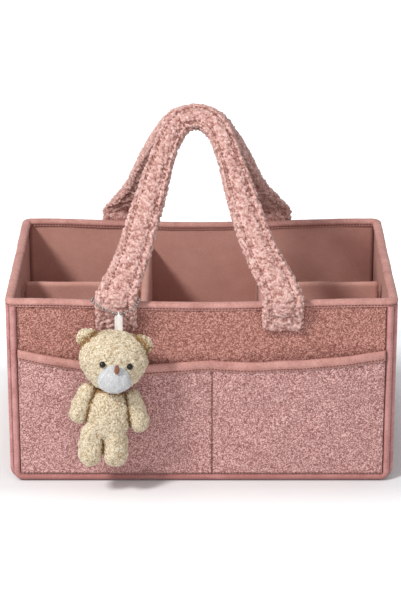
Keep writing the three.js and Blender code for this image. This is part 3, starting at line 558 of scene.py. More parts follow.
# %% Gusset
def under_path(half, low, top, radius, steps):
    """Points down the left, under and up the right, each with its inward direction."""
    rise, flat = top - low - radius, (half - radius) * 2
    base_steps = max(int(flat / 0.006), 1)
    found = [(Vector((-half, 0, top - rise * i / steps)), Vector((1, 0, 0))) for i in range(steps)]
    for side, start in ((-1, math.pi), (1, 1.5 * math.pi)):
        for i in range(9):
            angle = start + math.pi / 2 * i / 8
            turn = Vector((math.cos(angle), 0, math.sin(angle)))
            found.append((Vector((side * flat / 2, 0, low + radius)) + turn * radius, -turn))
        for i in range(1, base_steps if side < 0 else 1):
            found.append((Vector((flat * i / base_steps - flat / 2, 0, low)), Vector((0, 0, 1))))
    for i in range(1, steps + 1):
        found.append((Vector((half, 0, low + radius + rise * i / steps)), Vector((-1, 0, 0))))
    return found


gusset_path = under_path(SIDE_X, 0.0, PANEL_TOP, GUSSET_ROUND, int(112 / FINE))


def gusset_place(u, v):
    point, _ = gusset_path[round(v * (len(gusset_path) - 1))]
    return point + Vector((0, (2 * u - 1) * GUSSET_HALF, 0))


def gusset_inward(point):
    near_x = min(max(point.x, GUSSET_ROUND - SIDE_X), SIDE_X - GUSSET_ROUND)
    inward = Vector((near_x - point.x, 0, max(GUSSET_ROUND - point.z, 0)))
    return (inward.normalized() if inward.length > 0 else Vector((0, 0, 1))) * PANEL_THICK


def gusset_pile(point, normal):
    outside = abs(point.x) > SIDE_X - 0.0005
    return smoothstep(point.z, 0.004, 0.012) * under_rim_tape(point, 0) * outside


bm = doubled(grid_surface(int(140 / FINE), len(gusset_path) - 1, gusset_place), gusset_inward)
grow_pile(bm, GUSSET_PILE, gusset_pile)
name, node = "gusset_pile_fleece", "gusset_fleece"
piece = finished(bm, name, panel_fleece, "caddy", [node])
cut = (GUSSET_HALF * 2, line_length([point for point, _ in gusset_path]))
print("gusset made")

# %% [markdown]
# ## The rim
# A single tape is folded over the top edge all the way round. It is a section swept along a
# rounded rectangle. The top dips slightly in the middle of the long sides, and the sewing makes
# the tape wave a little.

# %% Rim tape
def rounded_path(half_x, half_y, radius, pitch):
    """Even places round a rounded rectangle, each with its outward direction."""
    signs = [(-1, -1), (1, -1), (1, 1), (-1, 1)]
    middles = [Vector((sx * (half_x - radius), sy * (half_y - radius), 0)) for sx, sy in signs]
    places = []
    for quarter, middle in enumerate(middles):
        for i in range(9):
            angle = math.pi + math.pi / 2 * (quarter + i / 8)
            out = Vector((math.cos(angle), math.sin(angle), 0))
            if i < 8:
                places.append((middle + out * radius, out))
        there = middles[(quarter + 1) % 4]
        steps = max(int((there - middle).length / pitch), 1)
        places += [(middle.lerp(there, i / steps) + out * radius, out) for i in range(steps)]
    return places


RIM_WIDTH, RIM_INSIDE = 0.0082, 0.0012
RIM_OUTER = [
    (0.0001, RIM_TAPE), (0.0000, 0.0065), (0.0009, 0.0058), (0.0003, 0.0051), (-0.0004, 0.0042),
    (-0.0005, 0.0031), (-0.0001, 0.0020), (0.0008, 0.0010), (0.0018, 0.0004), (0.0029, 0.0001),
]
RIM_SECTION = RIM_OUTER + [(RIM_WIDTH / 2, 0.0)]
RIM_SECTION += [(RIM_WIDTH - inward, down) for inward, down in reversed(RIM_OUTER)]
RIM_SECTION += [(RIM_WIDTH - RIM_INSIDE, down) for down in (RIM_TAPE, 0.0014)]
RIM_SECTION += [(RIM_INSIDE, down) for down in (0.0014, RIM_TAPE)]
rim_path = rounded_path(RIM_HALF_X, RIM_HALF_Y, RIM_CORNER, 0.0025 * FINE)


def rim_point(place, out, inward, down):
    wave = ripple(place, 0.006, 0.0003) + ripple(place, 0.045, 0.0006)
    point = place - out * inward + out * wave * min(down / 0.003, 1.0)
    return Vector((point.x, point.y, RIM_TOP - down - sag(point.x) + wave * 0.5))


def rim_place(u, v):
    inward, down = RIM_SECTION[round(u * len(RIM_SECTION)) % len(RIM_SECTION)]
    place, out = rim_path[round(v * len(rim_path)) % len(rim_path)]
    return rim_point(place, out, inward, down)


bm = grid_surface(len(RIM_SECTION), len(rim_path), rim_place, wrap=True)
finished(bm, "rim_tape", binding_tape, "caddy", ["rim_binding"])
for label, inward in (("outer", CLEAR), ("inner", RIM_WIDTH - CLEAR)):
    line = [rim_point(place, out, inward, 0.0058) for place, out in rim_path]
    sewn(stitch_row(spaced(line + line[:1])), f"rim_{label}_stitches")
print("rim made:", len(rim_path), "places")

# %% [markdown]
# ## Rolled edge tapes
# Every edge of the front and back panels has two rolls side by side: one on the panel and one on
# the gusset, with the seam between them. Each is a plump half-round section swept down, under and
# up again. The thread in the seam is paler along the foot, as in the photo, and darker up the
# sides, where its color is painted shade of the seam.

# %% Edge tapes
BEAD_TOP = 0.1847
ROLL_HALF, ROLL_LOW, ROLL_ROUND = 0.186, 0.0006, 0.0085
FOOT_SEAM_HEIGHT = 0.012


def roll_section(width, low, high, fullness, count=14):
    """Half-round section as (inward, outward y) pairs."""
    pairs = []
    for i in range(count + 1):
        angle = math.pi * (1 - i / count)
        across = math.copysign(abs(math.cos(angle)) ** fullness, math.cos(angle))
        up = math.sin(angle) ** fullness
        pairs.append((width * (1 + across) / 2, low + (high - low) * up))
    return pairs


def roll_bead(half, low, radius, section, name, node, turn):
    path = under_path(half, low, BEAD_TOP, radius, int(70 / FINE))

    def place(u, v):
        inward, outward = section[round(u * len(section)) % len(section)]
        point, into = path[round(v * (len(path) - 1))]
        wave = ripple(point, *TAPE_WAVE) * smoothstep(point.z, 0.002, 0.01)
        return point + into * inward + Vector((0, -outward - wave, 0))

    bm = grid_surface(len(section), len(path) - 1, place, wrap=True, capped=True)
    finished(turned(bm, turn), name, bead_tape, "caddy", [node])


PANEL_ROLL = roll_section(0.007, 0.1189, 0.1252, 0.85)
GUSSET_ROLL = [
    (0.0040, 0.1139), (0.0022, 0.1140), (0.0009, 0.1145), (0.0002, 0.1154), (0.0, 0.1163),
    (0.0002, 0.1172), (0.0009, 0.1180), (0.0022, 0.1185), (0.0040, 0.1186),
]
SEAM_PLACE = (0.0076, -0.1236)
for side, turn in FACES.items():
    panel, gusset = f"{side}_edge_binding", f"gusset_{side}_binding"
    roll_bead(ROLL_HALF, ROLL_LOW, ROLL_ROUND, PANEL_ROLL, f"{side}_panel_roll", panel, turn)
    roll_bead(0.190, 0.0, 0.012, GUSSET_ROLL, f"{side}_gusset_roll", gusset, turn)
    seam_path = under_path(ROLL_HALF, ROLL_LOW, BEAD_TOP, ROLL_ROUND, 70)
    seam_y = Vector((0, SEAM_PLACE[1], 0))
    rows = spaced([point + into * SEAM_PLACE[0] + seam_y for point, into in seam_path])
    for part, thread in (("side", groove_shaded_thread), ("foot", pale_thread)):
        row = [pair for pair in rows if (pair[0].z < FOOT_SEAM_HEIGHT) == (part == "foot")]
        sewn(turned(stitch_row(row), turn), f"{side}_roll_{part}_stitches", thread)
print("edge tapes made")

# %% [markdown]
# ## Pockets
# A pocket panel is sewn down at its sides and its foot, and along one upright seam. Between the
# seams the cloth bellies out, most of all at the top. Its pile is lighter than that of the wall.

# %% Pocket form
POCKET_LOW, POCKET_HEIGHT, POCKET_BULGE = 0.0091, 0.1308, 0.007
POCKET_TOP = [
    (-1, 1), (-0.83, 0.958), (-0.67, 0.927), (-0.45, 0.901), (-0.27, 0.898), (-0.03, 0.915),
    (0.05, 0.914), (0.11, 0.911), (0.29, 0.913), (0.43, 0.926), (0.71, 0.95), (1, 0.992),
]
POCKET_SEAMS = [-PANEL_HALF, SEAM_X, PANEL_HALF]
POCKET_TAPE, TAPE_THICK = 0.009, 0.0008


def pocket_x(share):
    return (2 * share - 1) * PANEL_HALF


def pocket_top(x):
    return POCKET_LOW + POCKET_HEIGHT * smooth_table(POCKET_TOP, x / PANEL_HALF)


def pocket_back(x, z):
    """How far the inner side of the cloth lies from the middle of the caddy."""
    up = min(max((z - POCKET_LOW) / (pocket_top(x) - POCKET_LOW), 0.0), 1.0)
    right = 1 if x <= SEAM_X + 1e-9 else 2
    near, far = POCKET_SEAMS[right - 1], POCKET_SEAMS[right]
    across = min(max((x - near) / (far - near), 0.0), 1.0)
    belly = math.sin(math.pi * across) ** 0.7 * up ** 0.75
    lift = 0.0012 * smoothstep(up, 0.55, 0.88)
    soft = ripple(Vector((x, 0, z)), 0.022, 0.0011) + ripple(Vector((x, 0.3, z)), 0.05, 0.0012)
    return FACE_Y + CLEAR + POCKET_BULGE * belly + lift + soft * min(belly * 3, 1.0)


def pocket_place(u, v):
    x = pocket_x(u)
    z = POCKET_LOW + (pocket_top(x) - POCKET_LOW) * v
    return Vector((x, -pocket_back(x, z) - POCKET_THICK, z))


def pocket_pile(point, normal):
    """Pile is pressed flat by the tape, at the seams and at the foot, and none grows inside.
    Pressed pile also gets painted shade, a dark line down the seams.
    """
    top = pocket_top(point.x)
    at_seam = min(abs(point.x - seam) for seam in POCKET_SEAMS)
    pressed = smoothstep(at_seam, 0.0006, 0.0026)
    foot = 0.4 + 0.6 * smoothstep(point.z, POCKET_LOW, POCKET_LOW + 0.004)
    under_tape = 1 - smoothstep(point.z, top - 0.0100, top - 0.0085)
    return under_tape * pressed * foot * (normal.y < -0.2)


def pocket_cloth():
    across, up = (int(size / 0.00115 / FINE) for size in (PANEL_HALF * 2, POCKET_HEIGHT))
    inward = Vector((0, POCKET_THICK, 0))
    bm = doubled(grid_surface(across, up, pocket_place), lambda point: inward)
    grow_pile(bm, POCKET_PILE, pocket_pile)
    return bm


def tape_section(x):
    """Section of the tape folded over the pocket's top edge, as (outward, up) pairs."""
    top = pocket_top(x)
    heights = [top - POCKET_TAPE + POCKET_TAPE * i / 5 for i in range(6)]
    outer = [pocket_back(x, z) + POCKET_THICK + CLEAR + TAPE_THICK for z in heights]
    inner = [pocket_back(x, z) - CLEAR - TAPE_THICK for z in heights]
    puff = [0.0002, -0.0004, 0.0005, 0.0007, 0.0004, 0.0]
    pairs = [(y + p, z) for y, p, z in zip(outer, puff, heights)]
    middle, reach = (outer[-1] + inner[-1]) / 2, (outer[-1] - inner[-1]) / 2
    for i in range(1, 6):
        angle = math.pi * i / 6
        rise = (CLEAR + TAPE_THICK) * math.sin(angle)
        pairs.append((middle + reach * math.cos(angle), top + rise))
    pairs += [(y - p, z) for y, p, z in reversed(list(zip(inner, puff, heights)))]
    pairs += [(inner[0] + TAPE_THICK, heights[0]), (inner[5] + TAPE_THICK, top)]
    return pairs + [(outer[5] - TAPE_THICK, top), (outer[0] - TAPE_THICK, heights[0])]


def pocket_tape():
    steps = int(PANEL_HALF * 2 / 0.0025)
    sections = [tape_section(pocket_x(i / steps)) for i in range(steps + 1)]
    count = len(sections[0])

    def place(u, v):
        index = round(v * steps)
        out, z = sections[index][round(u * count) % count]
        x = pocket_x(index / steps)
        return Vector((x, -out - ripple(Vector((x, 0, z)), *TAPE_WAVE), z))

    return grid_surface(count, steps, place, wrap=True, capped=True)


def hem_line(down=0.0072, steps=140):
    """Points along the tape's stitch line."""
    points = []
    for i in range(steps + 1):
        x = (2 * i / steps - 1) * (PANEL_HALF - 0.001)
        z = pocket_top(x) - down
        points.append(Vector((x, -pocket_back(x, z) - 0.0034, z)))
    return points


def seam_line(x, low=0.010):
    """Points up the upright seam, on the cloth."""
    top = pocket_top(x) - 0.0095
    heights = [low + (top - low) * i / 30 for i in range(31)]
    return [Vector((x, -pocket_back(x, z) - 0.0025, z)) for z in heights]

# %% Pockets in place
for side, turn in FACES.items():
    name, node = f"{side}_pocket_cloth", f"{side}_pocket"
    bm = turned(pocket_cloth(), turn)
    cloth = finished(bm, name, pocket_fleece, "caddy", [node])
    name, node = f"{side}_pocket_tape", f"{side}_pocket_binding"
    tape = finished(turned(pocket_tape(), turn), name, binding_tape, "caddy", [node])
    hem = sewn(turned(stitch_row(spaced(hem_line())), turn), f"{side}_pocket_stitches")
    row = stitch_row(spaced(seam_line(SEAM_X)), 0.0031, 0.0013)
    seam = sewn(turned(row, turn), f"{side}_seam_stitches")
    panel = bpy.data.objects[f"{side}_panel_fleece"]
print("pockets made")

# %% [markdown]
# ## Padded straps
# Each strap is one long padded tube with a line of stitching pressed into its outer face near
# each edge. It widens into two flat feet, sewn on the panel below the rim, and rises into its
# arch just above them.

# %% Strap route
STRAP_EDGE = [(1, 0), (0.93, 0.55), (0.78, 0.84), (0.56, 0.72), (0.28, 1)]
FRONT_ARCH = [
    (1, 0), (0.93, 0.06), (0.77, 0.207), (0.6, 0.434), (0.53, 0.538), (0.416, 0.7),
    (0.366, 0.765), (0.318, 0.815), (0.262, 0.864), (0.178, 0.905), (0.095, 0.923),
]
BACK_ARCH = [
    (1, 0), (0.9, 0.06), (0.735, 0.207), (0.585, 0.434), (0.52, 0.538), (0.412, 0.7),
    (0.36, 0.765), (0.312, 0.815), (0.255, 0.864), (0.172, 0.905), (0.09, 0.923),
]
HANDLES = {
    "front": {"shift": -0.002, "lean": -0.0035, "rise": 0.1615, "arch": FRONT_ARCH},
    "back": {"shift": 0.005, "lean": 0.0015, "rise": 0.1545, "arch": BACK_ARCH},
}
FLARE = [
    (0, 1), (0.06, 0.8), (0.12, 0.6), (0.3, 0.46), (0.5, 0.3), (0.62, 0.1), (0.75, -0.12),
    (0.9, -0.05), (1, 0),
]
THIN = [(0, 1), (0.08, 0.7), (0.25, 0.15), (0.5, 0), (1, 0)]
STRAP_WIDTH, STRAP_FLARE = 0.026, 0.014
STRAP_DEPTH, STRAP_THINNING = 0.018, 0.005
FOOT_BACK, FOOT_FRONT, FOOT_TOP = 0.1244, 0.1374, 0.200
FOOT_HALF_SPACING, FOOT_HALF_WIDTH = 0.0805, 0.020
# Height, distance of the front face from the middle of the caddy and share of the width.
FOOT_ROWS = [
    (0.1610, 0.1265, 0.64), (0.1614, 0.1281, 0.78), (0.1622, 0.1292, 0.9), (0.1636, 0.1299, 0.98),
    (0.1660, 0.1307, 1.0), (0.1690, 0.1315, 1.01), (0.1720, 0.1323, 1.01), (0.1755, 0.1331, 1.0),
    (0.1785, 0.1341, 1.0), (0.1810, 0.1360, 1.0), (0.1835, 0.1366, 1.0), (0.1865, 0.1371, 1.0),
    (0.1900, 0.1373, 1.0), (0.1935, 0.1374, 1.0), (0.1970, 0.1374, 1.0),
]
FOOT_LIFTS_AT = 0.180


def smooth_line(points, share):
    """A point on a smooth curve through points, for a share of its steps."""
    place = min(max(share, 0.0), 1.0) * (len(points) - 1)
    i = min(int(place), len(points) - 2)
    t = place - i
    p1, p2 = points[i], points[i + 1]
    p0 = points[i - 1] if i > 0 else p1 * 2 - p2
    p3 = points[i + 2] if i + 2 < len(points) else p2 * 2 - p1
    b = (p2 - p0) * t
    c = (p0 * 2 - p1 * 5 + p2 * 4 - p3) * (t * t)
    d = (p1 * 3 - p0 - p2 * 3 + p3) * (t ** 3)
    return (p1 * 2 + b + c + d) * 0.5


def even_places(points, count):
    """Even places along a line of points, each as a point's index and a share of the way on."""
    marks = [0.0]
    for here, there in zip(points, points[1:]):
        marks.append(marks[-1] + (there - here).length)
    index = 0
    for i in range(count + 1):
        goal = marks[-1] * i / count
        while index < len(marks) - 2 and marks[index + 1] < goal:
            index += 1
        span = max(marks[index + 1] - marks[index], 1e-12)
        yield index, min((goal - marks[index]) / span, 1.0)


def evenly(points, count, detail=12):
    """Even places along a smooth curve through points, each with its direction."""
    steps = detail * len(points)
    fine = [smooth_line(points, i / steps) for i in range(steps + 1)]
    for i, t in even_places(fine, count):
        yield fine[i].lerp(fine[i + 1], t), (fine[i + 1] - fine[i]).normalized()


def handle_stations(handle, count=90):
    """Stations over one arch: centre, across, outward, half width and half thickness."""
    base_y, low = (FOOT_BACK + FOOT_FRONT) / 2, FOOT_TOP + CLEAR
    rise, run = RIM_TOP + handle["rise"] - FOOT_TOP - CLEAR, base_y - 0.0044
    length, lean = math.hypot(rise, run), math.atan2(run, rise)
    flat = [Vector((-s * FOOT_HALF_SPACING, u * length, 0)) for s, u in handle["arch"]]
    flat.append(Vector((0, length - 0.013, 0)))
    flat += [Vector((-point.x, point.y, 0)) for point in reversed(flat[:-1])]
    up = Vector((0, math.sin(lean), math.cos(lean)))
    out = Vector((0, -math.cos(lean), math.sin(lean)))
    stations = []
    for i, (place, tangent) in enumerate(evenly(flat, count)):
        along = min(i / count, 1 - i / count) * 2
        settle = smoothstep(along, 0, 0.12)
        across = Vector((tangent.y, 0, 0)) + up * -tangent.x
        upright = Vector((math.copysign(1, tangent.y), 0, 0))
        across = upright.lerp(across, settle).normalized()
        outward = Vector((0, -1, 0)).lerp(out, settle).normalized()
        sideways = handle["shift"] + handle["lean"] * smoothstep(place.y / length, 0, 0.4)
        centre = Vector((place.x + sideways, -base_y, low)) + up * place.y
        half_width = (STRAP_WIDTH + STRAP_FLARE * smooth_table(FLARE, along)) / 2
        half_depth = (STRAP_DEPTH - STRAP_THINNING * smooth_table(THIN, along)) / 2
        stations.append((centre, across, outward, half_width, half_depth))
    return stations


def foot_stations(handle, side):
    """Stations of a foot from its tip up to where the strap begins."""
    x = handle["shift"] + side * FOOT_HALF_SPACING
    found = []
    for z, front, wide in FOOT_ROWS:
        back = FACE_Y + CLEAR if z < FOOT_LIFTS_AT else FOOT_BACK
        centre, across = Vector((x, -(back + front) / 2, z)), Vector((-side, 0, 0))
        half_width = FOOT_HALF_WIDTH * wide
        found.append((centre, across, Vector((0, -1, 0)), half_width, (front - back) / 2))
    return found


def strap_stations(handle, pitch):
    """Stations at even distances from one foot over the arch to the other."""
    stations = foot_stations(handle, -1) + handle_stations(handle)[1:-1]
    stations += foot_stations(handle, 1)[::-1]
    centres = [station[0] for station in stations]
    found = []
    for i, t in even_places(centres, int(line_length(centres) / pitch)):
        here, there = stations[i:i + 2]
        vectors = [a.lerp(b, t) for a, b in zip(here[:3], there[:3])]
        found.append(vectors + [a + (b - a) * t for a, b in zip(here[3:], there[3:])])
    return found

# %% Strap surface
def strap_section(count):
    """Closed smooth section of the strap as shares of its half width and half depth."""
    half = [Vector((u, v, 0)) for u, v in STRAP_EDGE]
    upper = half + [Vector((-p.x, p.y, 0)) for p in reversed(half)]
    ring = upper + [Vector((p.x, -p.y, 0)) for p in reversed(upper[1:-1])]
    wrapped = ring[-2:] + ring + ring[:3]
    steps = len(wrapped) - 1
    return [smooth_line(wrapped, (2 + len(ring) * i / count) / steps) for i in range(count)]


def strap_point(station, u, v):
    centre, across, outward, half_width, half_depth = station
    return centre + across.normalized() * (u * half_width) + outward.normalized() * (v * half_depth)


def strap_pile(point, normal):
    """No pile grows where a foot is sewn to the panel."""
    return 0.0 if point.y > -0.1262 and point.z < RIM_TOP else 1.0


def strap_cloth(rows):
    """The whole strap, from one sewn foot over the top to the other."""
    ring = strap_section(int(76 / FINE))

    def place(u, v):
        share = ring[round(u * len(ring)) % len(ring)]
        station = rows[round(v * (len(rows) - 1))]
        sway = ripple(station[0], 0.03, 0.0012)
        return strap_point(station, share.x, share.y) + station[2] * sway

    bm = grid_surface(len(ring), len(rows) - 1, place, wrap=True, capped=True)
    grow_pile(bm, STRAP_PILE, strap_pile, 0.5)
    return bm


STITCH_PLACE = (0.56, 0.80)
FOLD_HALF = 0.010
for side, turn in FACES.items():
    handle = HANDLES[side]
    rows = strap_stations(handle, 0.0013 * FINE)
    bm = turned(strap_cloth(rows), turn)
    piece = finished(bm, f"{side}_strap", strap_boucle, None)
    parts = ("left_foot", "right_foot", "handle_sleeve", "handle_core")
    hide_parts(*[f"{side}_{part}" for part in parts])
    pivot = turn @ Vector((handle["shift"], -(FOOT_BACK + FOOT_FRONT) / 2, 0.0))
    start, end = [(pivot.x, pivot.y, FOOT_TOP + step) for step in (-FOLD_HALF, FOLD_HALF)]
    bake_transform(piece)
    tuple(start)
    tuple(end)
    for label, sign in (("left", -1), ("right", 1)):
        # Stitch rows in darker thread, painted shade of the grooves they press into the strap.
        u, v = sign * STITCH_PLACE[0], STITCH_PLACE[1]
        line = [strap_point(station, u, v) for station in rows[10:-10]]
        row = turned(stitch_row(spaced(line, 0.0042), 0.0032), turn)
        thread = sewn(row, f"{side}_strap_{label}_stitches", groove_shaded_strap_thread, None)
        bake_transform(thread)
        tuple(start)
        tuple(end)
    print(side, "strap made:", len(rows), "rows")

# %% [markdown]
# ## Dividers
# The two long dividers are felt folded over board, so their tops are round and soft. The two
# short ones stand between a wall and a long divider and lift out. Each is made as a block,
# rounded along its top and sewn there.

# %% Divider felt
HEM_DROP = 0.006


def upright(axis, run, across, z):
    """A point by its place along a slab that runs in x (axis 0) or y (axis 1), across it and up."""
    return Vector((run, across, z)) if axis == 0 else Vector((across, run, z))


def felt_slab(low, high, axis, name, body, nodes):
    """Upright slab with a round top and its row of stitches."""
    half, middle = (high[1 - axis] - low[1 - axis]) / 2, (high[1 - axis] + low[1 - axis]) / 2
    start, length = low[axis], high[axis] - low[axis]
    shoulder = high[2] - half
    side_line = [(half, low[2] + (shoulder - low[2]) * i / 40) for i in range(41)]
    angles = [math.pi * i / 12 for i in range(1, 12)]
    outline = side_line + [(half * math.cos(a), shoulder + half * math.sin(a)) for a in angles]
    outline += [(-half, z) for _, z in reversed(side_line)]

    def place(u, v):
        across, z = outline[round(u * len(outline)) % len(outline)]
        run = start + length * v
        soft = ripple(Vector((across * 2, run, z)), 0.03, 0.0010)
        soft += ripple(Vector((across, run, z)), 0.004, 0.00012)
        pulled = 0.0012 * math.exp(-(((z - shoulder + HEM_DROP) / 0.0012) ** 2))
        side = across - math.copysign(pulled + CLEAR, across) + soft * 0.6
        return upright(axis, run, middle + side, z + (soft * 0.8 if z > shoulder else 0))

    bm = grid_surface(len(outline), int(length / 0.004), place, wrap=True, capped=True)
    finished(bm, name, divider_felt, body, nodes)

    pairs = []
    for side in (-1, 1):
        across, ends = middle + side * (half - 0.0014), 0.002
        runs = [start + ends + (length - 2 * ends) * i / 30 for i in range(31)]
        pairs += spaced([upright(axis, run, across, shoulder - HEM_DROP) for run in runs], 0.0036)
    sewn(stitch_row(pairs, width=0.0007), f"{name}_stitches", groove_shaded_thread, body)


for side in ("left", "right"):
    nodes = [f"{side}_divider_cover", f"{side}_divider_board"]
    felt_slab(*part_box(nodes[0]), 1, f"{side}_long_divider", "caddy", nodes)
    node = f"{side}_cross_divider"
    felt_slab(*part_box(node), 0, f"{side}_short_divider", f"{side}_divider", [node])
print("dividers made")

# %% [markdown]
# ## The bear
# The charm is a small plush bear of separate stuffed pieces: head, ears, white muzzle, body and
# limbs. A sphere is drawn out to each piece's length and fullness, and gets a short curly pile with
# painted shade in the creases between pieces.
# Eyes are glossy beads, and the nose is stitched with thick brown thread.

# %% Stuffed forms
HEAD = Vector((-0.0846, -0.1558, 0.1406))
HEAD_SIZE = (0.066, 0.040, 0.062)
LIMB, LEG, EAR = (0.021, 0.021, 0.043), (0.025, 0.025, 0.048), (0.021, 0.011, 0.021)
HEAD_FULL = [(-1, 0.72), (-0.5, 0.86), (0, 1), (0.5, 1.04), (1, 1.06)]
TORSO_FULL = [(-1, 1.1), (-0.4, 1.04), (0.3, 1.0), (1, 0.92)]
LIMB_FULL = [(-1, 1.12), (-0.4, 1), (0.3, 0.9), (1, 1)]
LEG_FULL = [(-1, 1.32), (-0.7, 1.12), (0.2, 0.96), (1, 1)]
EAR_FULL = [(-1, 1), (1, 1)]
MUZZLE_FULL = [(-1, 1.08), (-0.4, 1.04), (0.3, 0.9), (1, 0.72)]
PLUMP = 2.3
# Painted crease shade between stuffed forms: how near another form it reaches, and how dark it
# gets.
CREASE_REACH, CREASE_SHADE = (0.0002, 0.0042), 1.3
# Size, fullness, place in head sizes from the head's middle, turn in degrees, pieces beside it
# whose nearness gives it painted crease shade.
BEAR_FORMS = {
    "head": (HEAD_SIZE, HEAD_FULL, (0, 0, 0), 4, ["body", "left_ear", "right_ear"]),
    "body": (
        (0.043, 0.033, 0.056), TORSO_FULL, (-0.085, 0.03, -0.865), 3,
        ["head", "left_arm", "right_arm"],
    ),
    "left_arm": (LIMB, LIMB_FULL, (-0.455, 0, -0.69), 20, ["head", "body"]),
    "right_arm": (LIMB, LIMB_FULL, (0.33, 0, -0.83), -12, ["head", "body"]),
    "left_leg": (LEG, LEG_FULL, (-0.335, -0.06, -1.34), 6, ["right_leg"]),
    "right_leg": (LEG, LEG_FULL, (0.01, -0.06, -1.345), -2, ["left_leg"]),
    "left_ear": (EAR, EAR_FULL, (-0.365, 0.05, 0.375), -40, ["head"]),
    "right_ear": (EAR, EAR_FULL, (0.41, 0.05, 0.258), 50, ["head"]),
    "muzzle": ((0.032, 0.018, 0.030), MUZZLE_FULL, (0.02, -0.44, -0.150), 0, []),
}


def bear_place(shares, turn):
    offset = Vector([share * size for share, size in zip(shares, HEAD_SIZE)])
    return Matrix.Translation(HEAD + offset) @ Matrix.Rotation(math.radians(turn), 4, "Y")


bear_inverse = {name: bear_place(*form[2:4]).inverted() for name, form in BEAR_FORMS.items()}


def stuffed(size, fullness, detail):
    """A sphere drawn out along z to a stuffed form of the given size."""
    bm = bmesh.new()
    bmesh.ops.create_icosphere(bm, subdivisions=detail, radius=1)
    for vert in bm.verts:
        along = vert.co.z
        round_share = (1 - min(abs(along), 1.0) ** PLUMP) ** (1 / PLUMP)
        flat = Vector((vert.co.x, vert.co.y, 0))
        if flat.length > 1e-9:
            flat.normalize()
        flat *= round_share * smooth_table(fullness, along)
        vert.co = [share * whole / 2 for share, whole in zip((flat.x, flat.y, along), size)]
    return bm


def form_gap(name, place):
    """About how far a point is from another stuffed form of the bear."""
    size, fullness = BEAR_FORMS[name][:2]
    point = bear_inverse[name] @ place
    x, y, along = [value / (whole / 2) for value, whole in zip(point, size)]
    out = math.hypot(x, y) / smooth_table(fullness, min(max(along, -1), 1))
    return ((out ** PLUMP + abs(along) ** PLUMP) ** (1 / PLUMP) - 1) * min(size) / 2


def plush_piece(name, detail, material, pile):
    size, fullness, shares, turn, near = BEAR_FORMS[name]
    bm = stuffed(size, fullness, detail - (0))
    turned(bm, bear_place(shares, turn))
    bm.normal_update()
    for vert in bm.verts:
        vert.co += vert.normal * ripple(vert.co, 0.008, 0.0013)

    # Painted shade: the pile darkens where another stuffed piece lies close, in the creases between
    # them.
    def crease_shade(place):
        gaps = [form_gap(other, place) for other in near]
        return sum(1 - smoothstep(gap, *CREASE_REACH) for gap in gaps) * CREASE_SHADE

    grow_pile(bm, pile, None, 0.4, crease_shade)
    piece = finished(bm, f"{name}_plush", material, "bear_charm", [f"bear_{name}"])


for name in BEAR_FORMS:
    if name == "muzzle":
        plush_piece(name, 5, muzzle_plush, MUZZLE_PILE)
    else:
        plush_piece(name, 6 if name in ("head", "body") else 5, bear_plush, BEAR_PILE)

# %% Eyes and nose
EYES = {"left_eye": (-0.145, -0.475, 0.078), "right_eye": (0.249, -0.455, 0.035)}
EYE_RADIUS = 0.0030
for name, shares in EYES.items():
    bm = bmesh.new()
    place = bear_place(shares, 0)
    bmesh.ops.create_uvsphere(bm, u_segments=32, v_segments=18, radius=EYE_RADIUS, matrix=place)
    finished(bm, f"{name}_bead", bead_black, "bear_charm", [f"bear_{name}"])

NOSE_HALF_WIDTH, NOSE_HALF_HEIGHT, NOSE_ROWS = 0.0027, 0.0040, 4
bm = bmesh.new()
nose_middle = bear_place((0.065, -0.655, 0.035), 3)
for i in range(-NOSE_ROWS, NOSE_ROWS + 1):
    drop = i / NOSE_ROWS
    wide = NOSE_HALF_WIDTH * math.sqrt(max(1 - (drop * 0.8) ** 2, 0.1))
    place = nose_middle @ Matrix.Translation((0, 0.0010 * drop * drop, -drop * NOSE_HALF_HEIGHT))
    matrix = place @ Matrix.Diagonal((wide, 0.0015, 0.00062, 1))
    bmesh.ops.create_uvsphere(bm, u_segments=20, v_segments=10, radius=1, matrix=matrix)
finished(bm, "nose_stitches", nose_thread, "bear_charm", ["bear_nose"])
print("bear made")

# %% [markdown]
# ## Satin loop and ball chain
# The bear hangs from a narrow satin ribbon folded over a ball chain. The ribbon is gathered where
# it passes over the chain and opens below. The chain goes round the foot of the strap: small
# steel balls on a fine wire.

# %% Satin loop
CHAIN_Y, CHAIN_Z, RIBBON_X = -0.1423, 0.1846, -0.0795
LOOP_ROUND, LOOP_LENGTH, LOOP_WAIST = 0.0032, 0.0216, 0.0016
RIBBON_ACROSS, RIBBON_THICK = 14, 0.0006
RIBBON_HALF = (0.0006, 0.0032)
loop_top = CHAIN_Z + 0.00255
loop_outline = []
for turn, sign in ((0, 1), (1, -1)):
    base = loop_top - LOOP_ROUND - turn * LOOP_LENGTH
    for i in range(13):
        angle = math.pi * (turn + i / 12)
        loop_outline.append((LOOP_ROUND * math.cos(angle), base + LOOP_ROUND * math.sin(angle)))
    for share in [i / 24 for i in range(1, 24)]:
        out = LOOP_WAIST * math.sin(math.pi * share) - LOOP_ROUND
        loop_outline.append((sign * out, base - sign * LOOP_LENGTH * share))


def loop_normal(index):
    before, after = loop_outline[index - 1], loop_outline[(index + 1) % len(loop_outline)]
    run = Vector((0, after[0] - before[0], after[1] - before[1])).normalized()
    return Vector((0, run.z, -run.y))


ribbon_ring = [(2 * i / RIBBON_ACROSS - 1, 0.5) for i in range(RIBBON_ACROSS + 1)]
ribbon_ring += [(-side, -0.5) for side, _ in ribbon_ring]


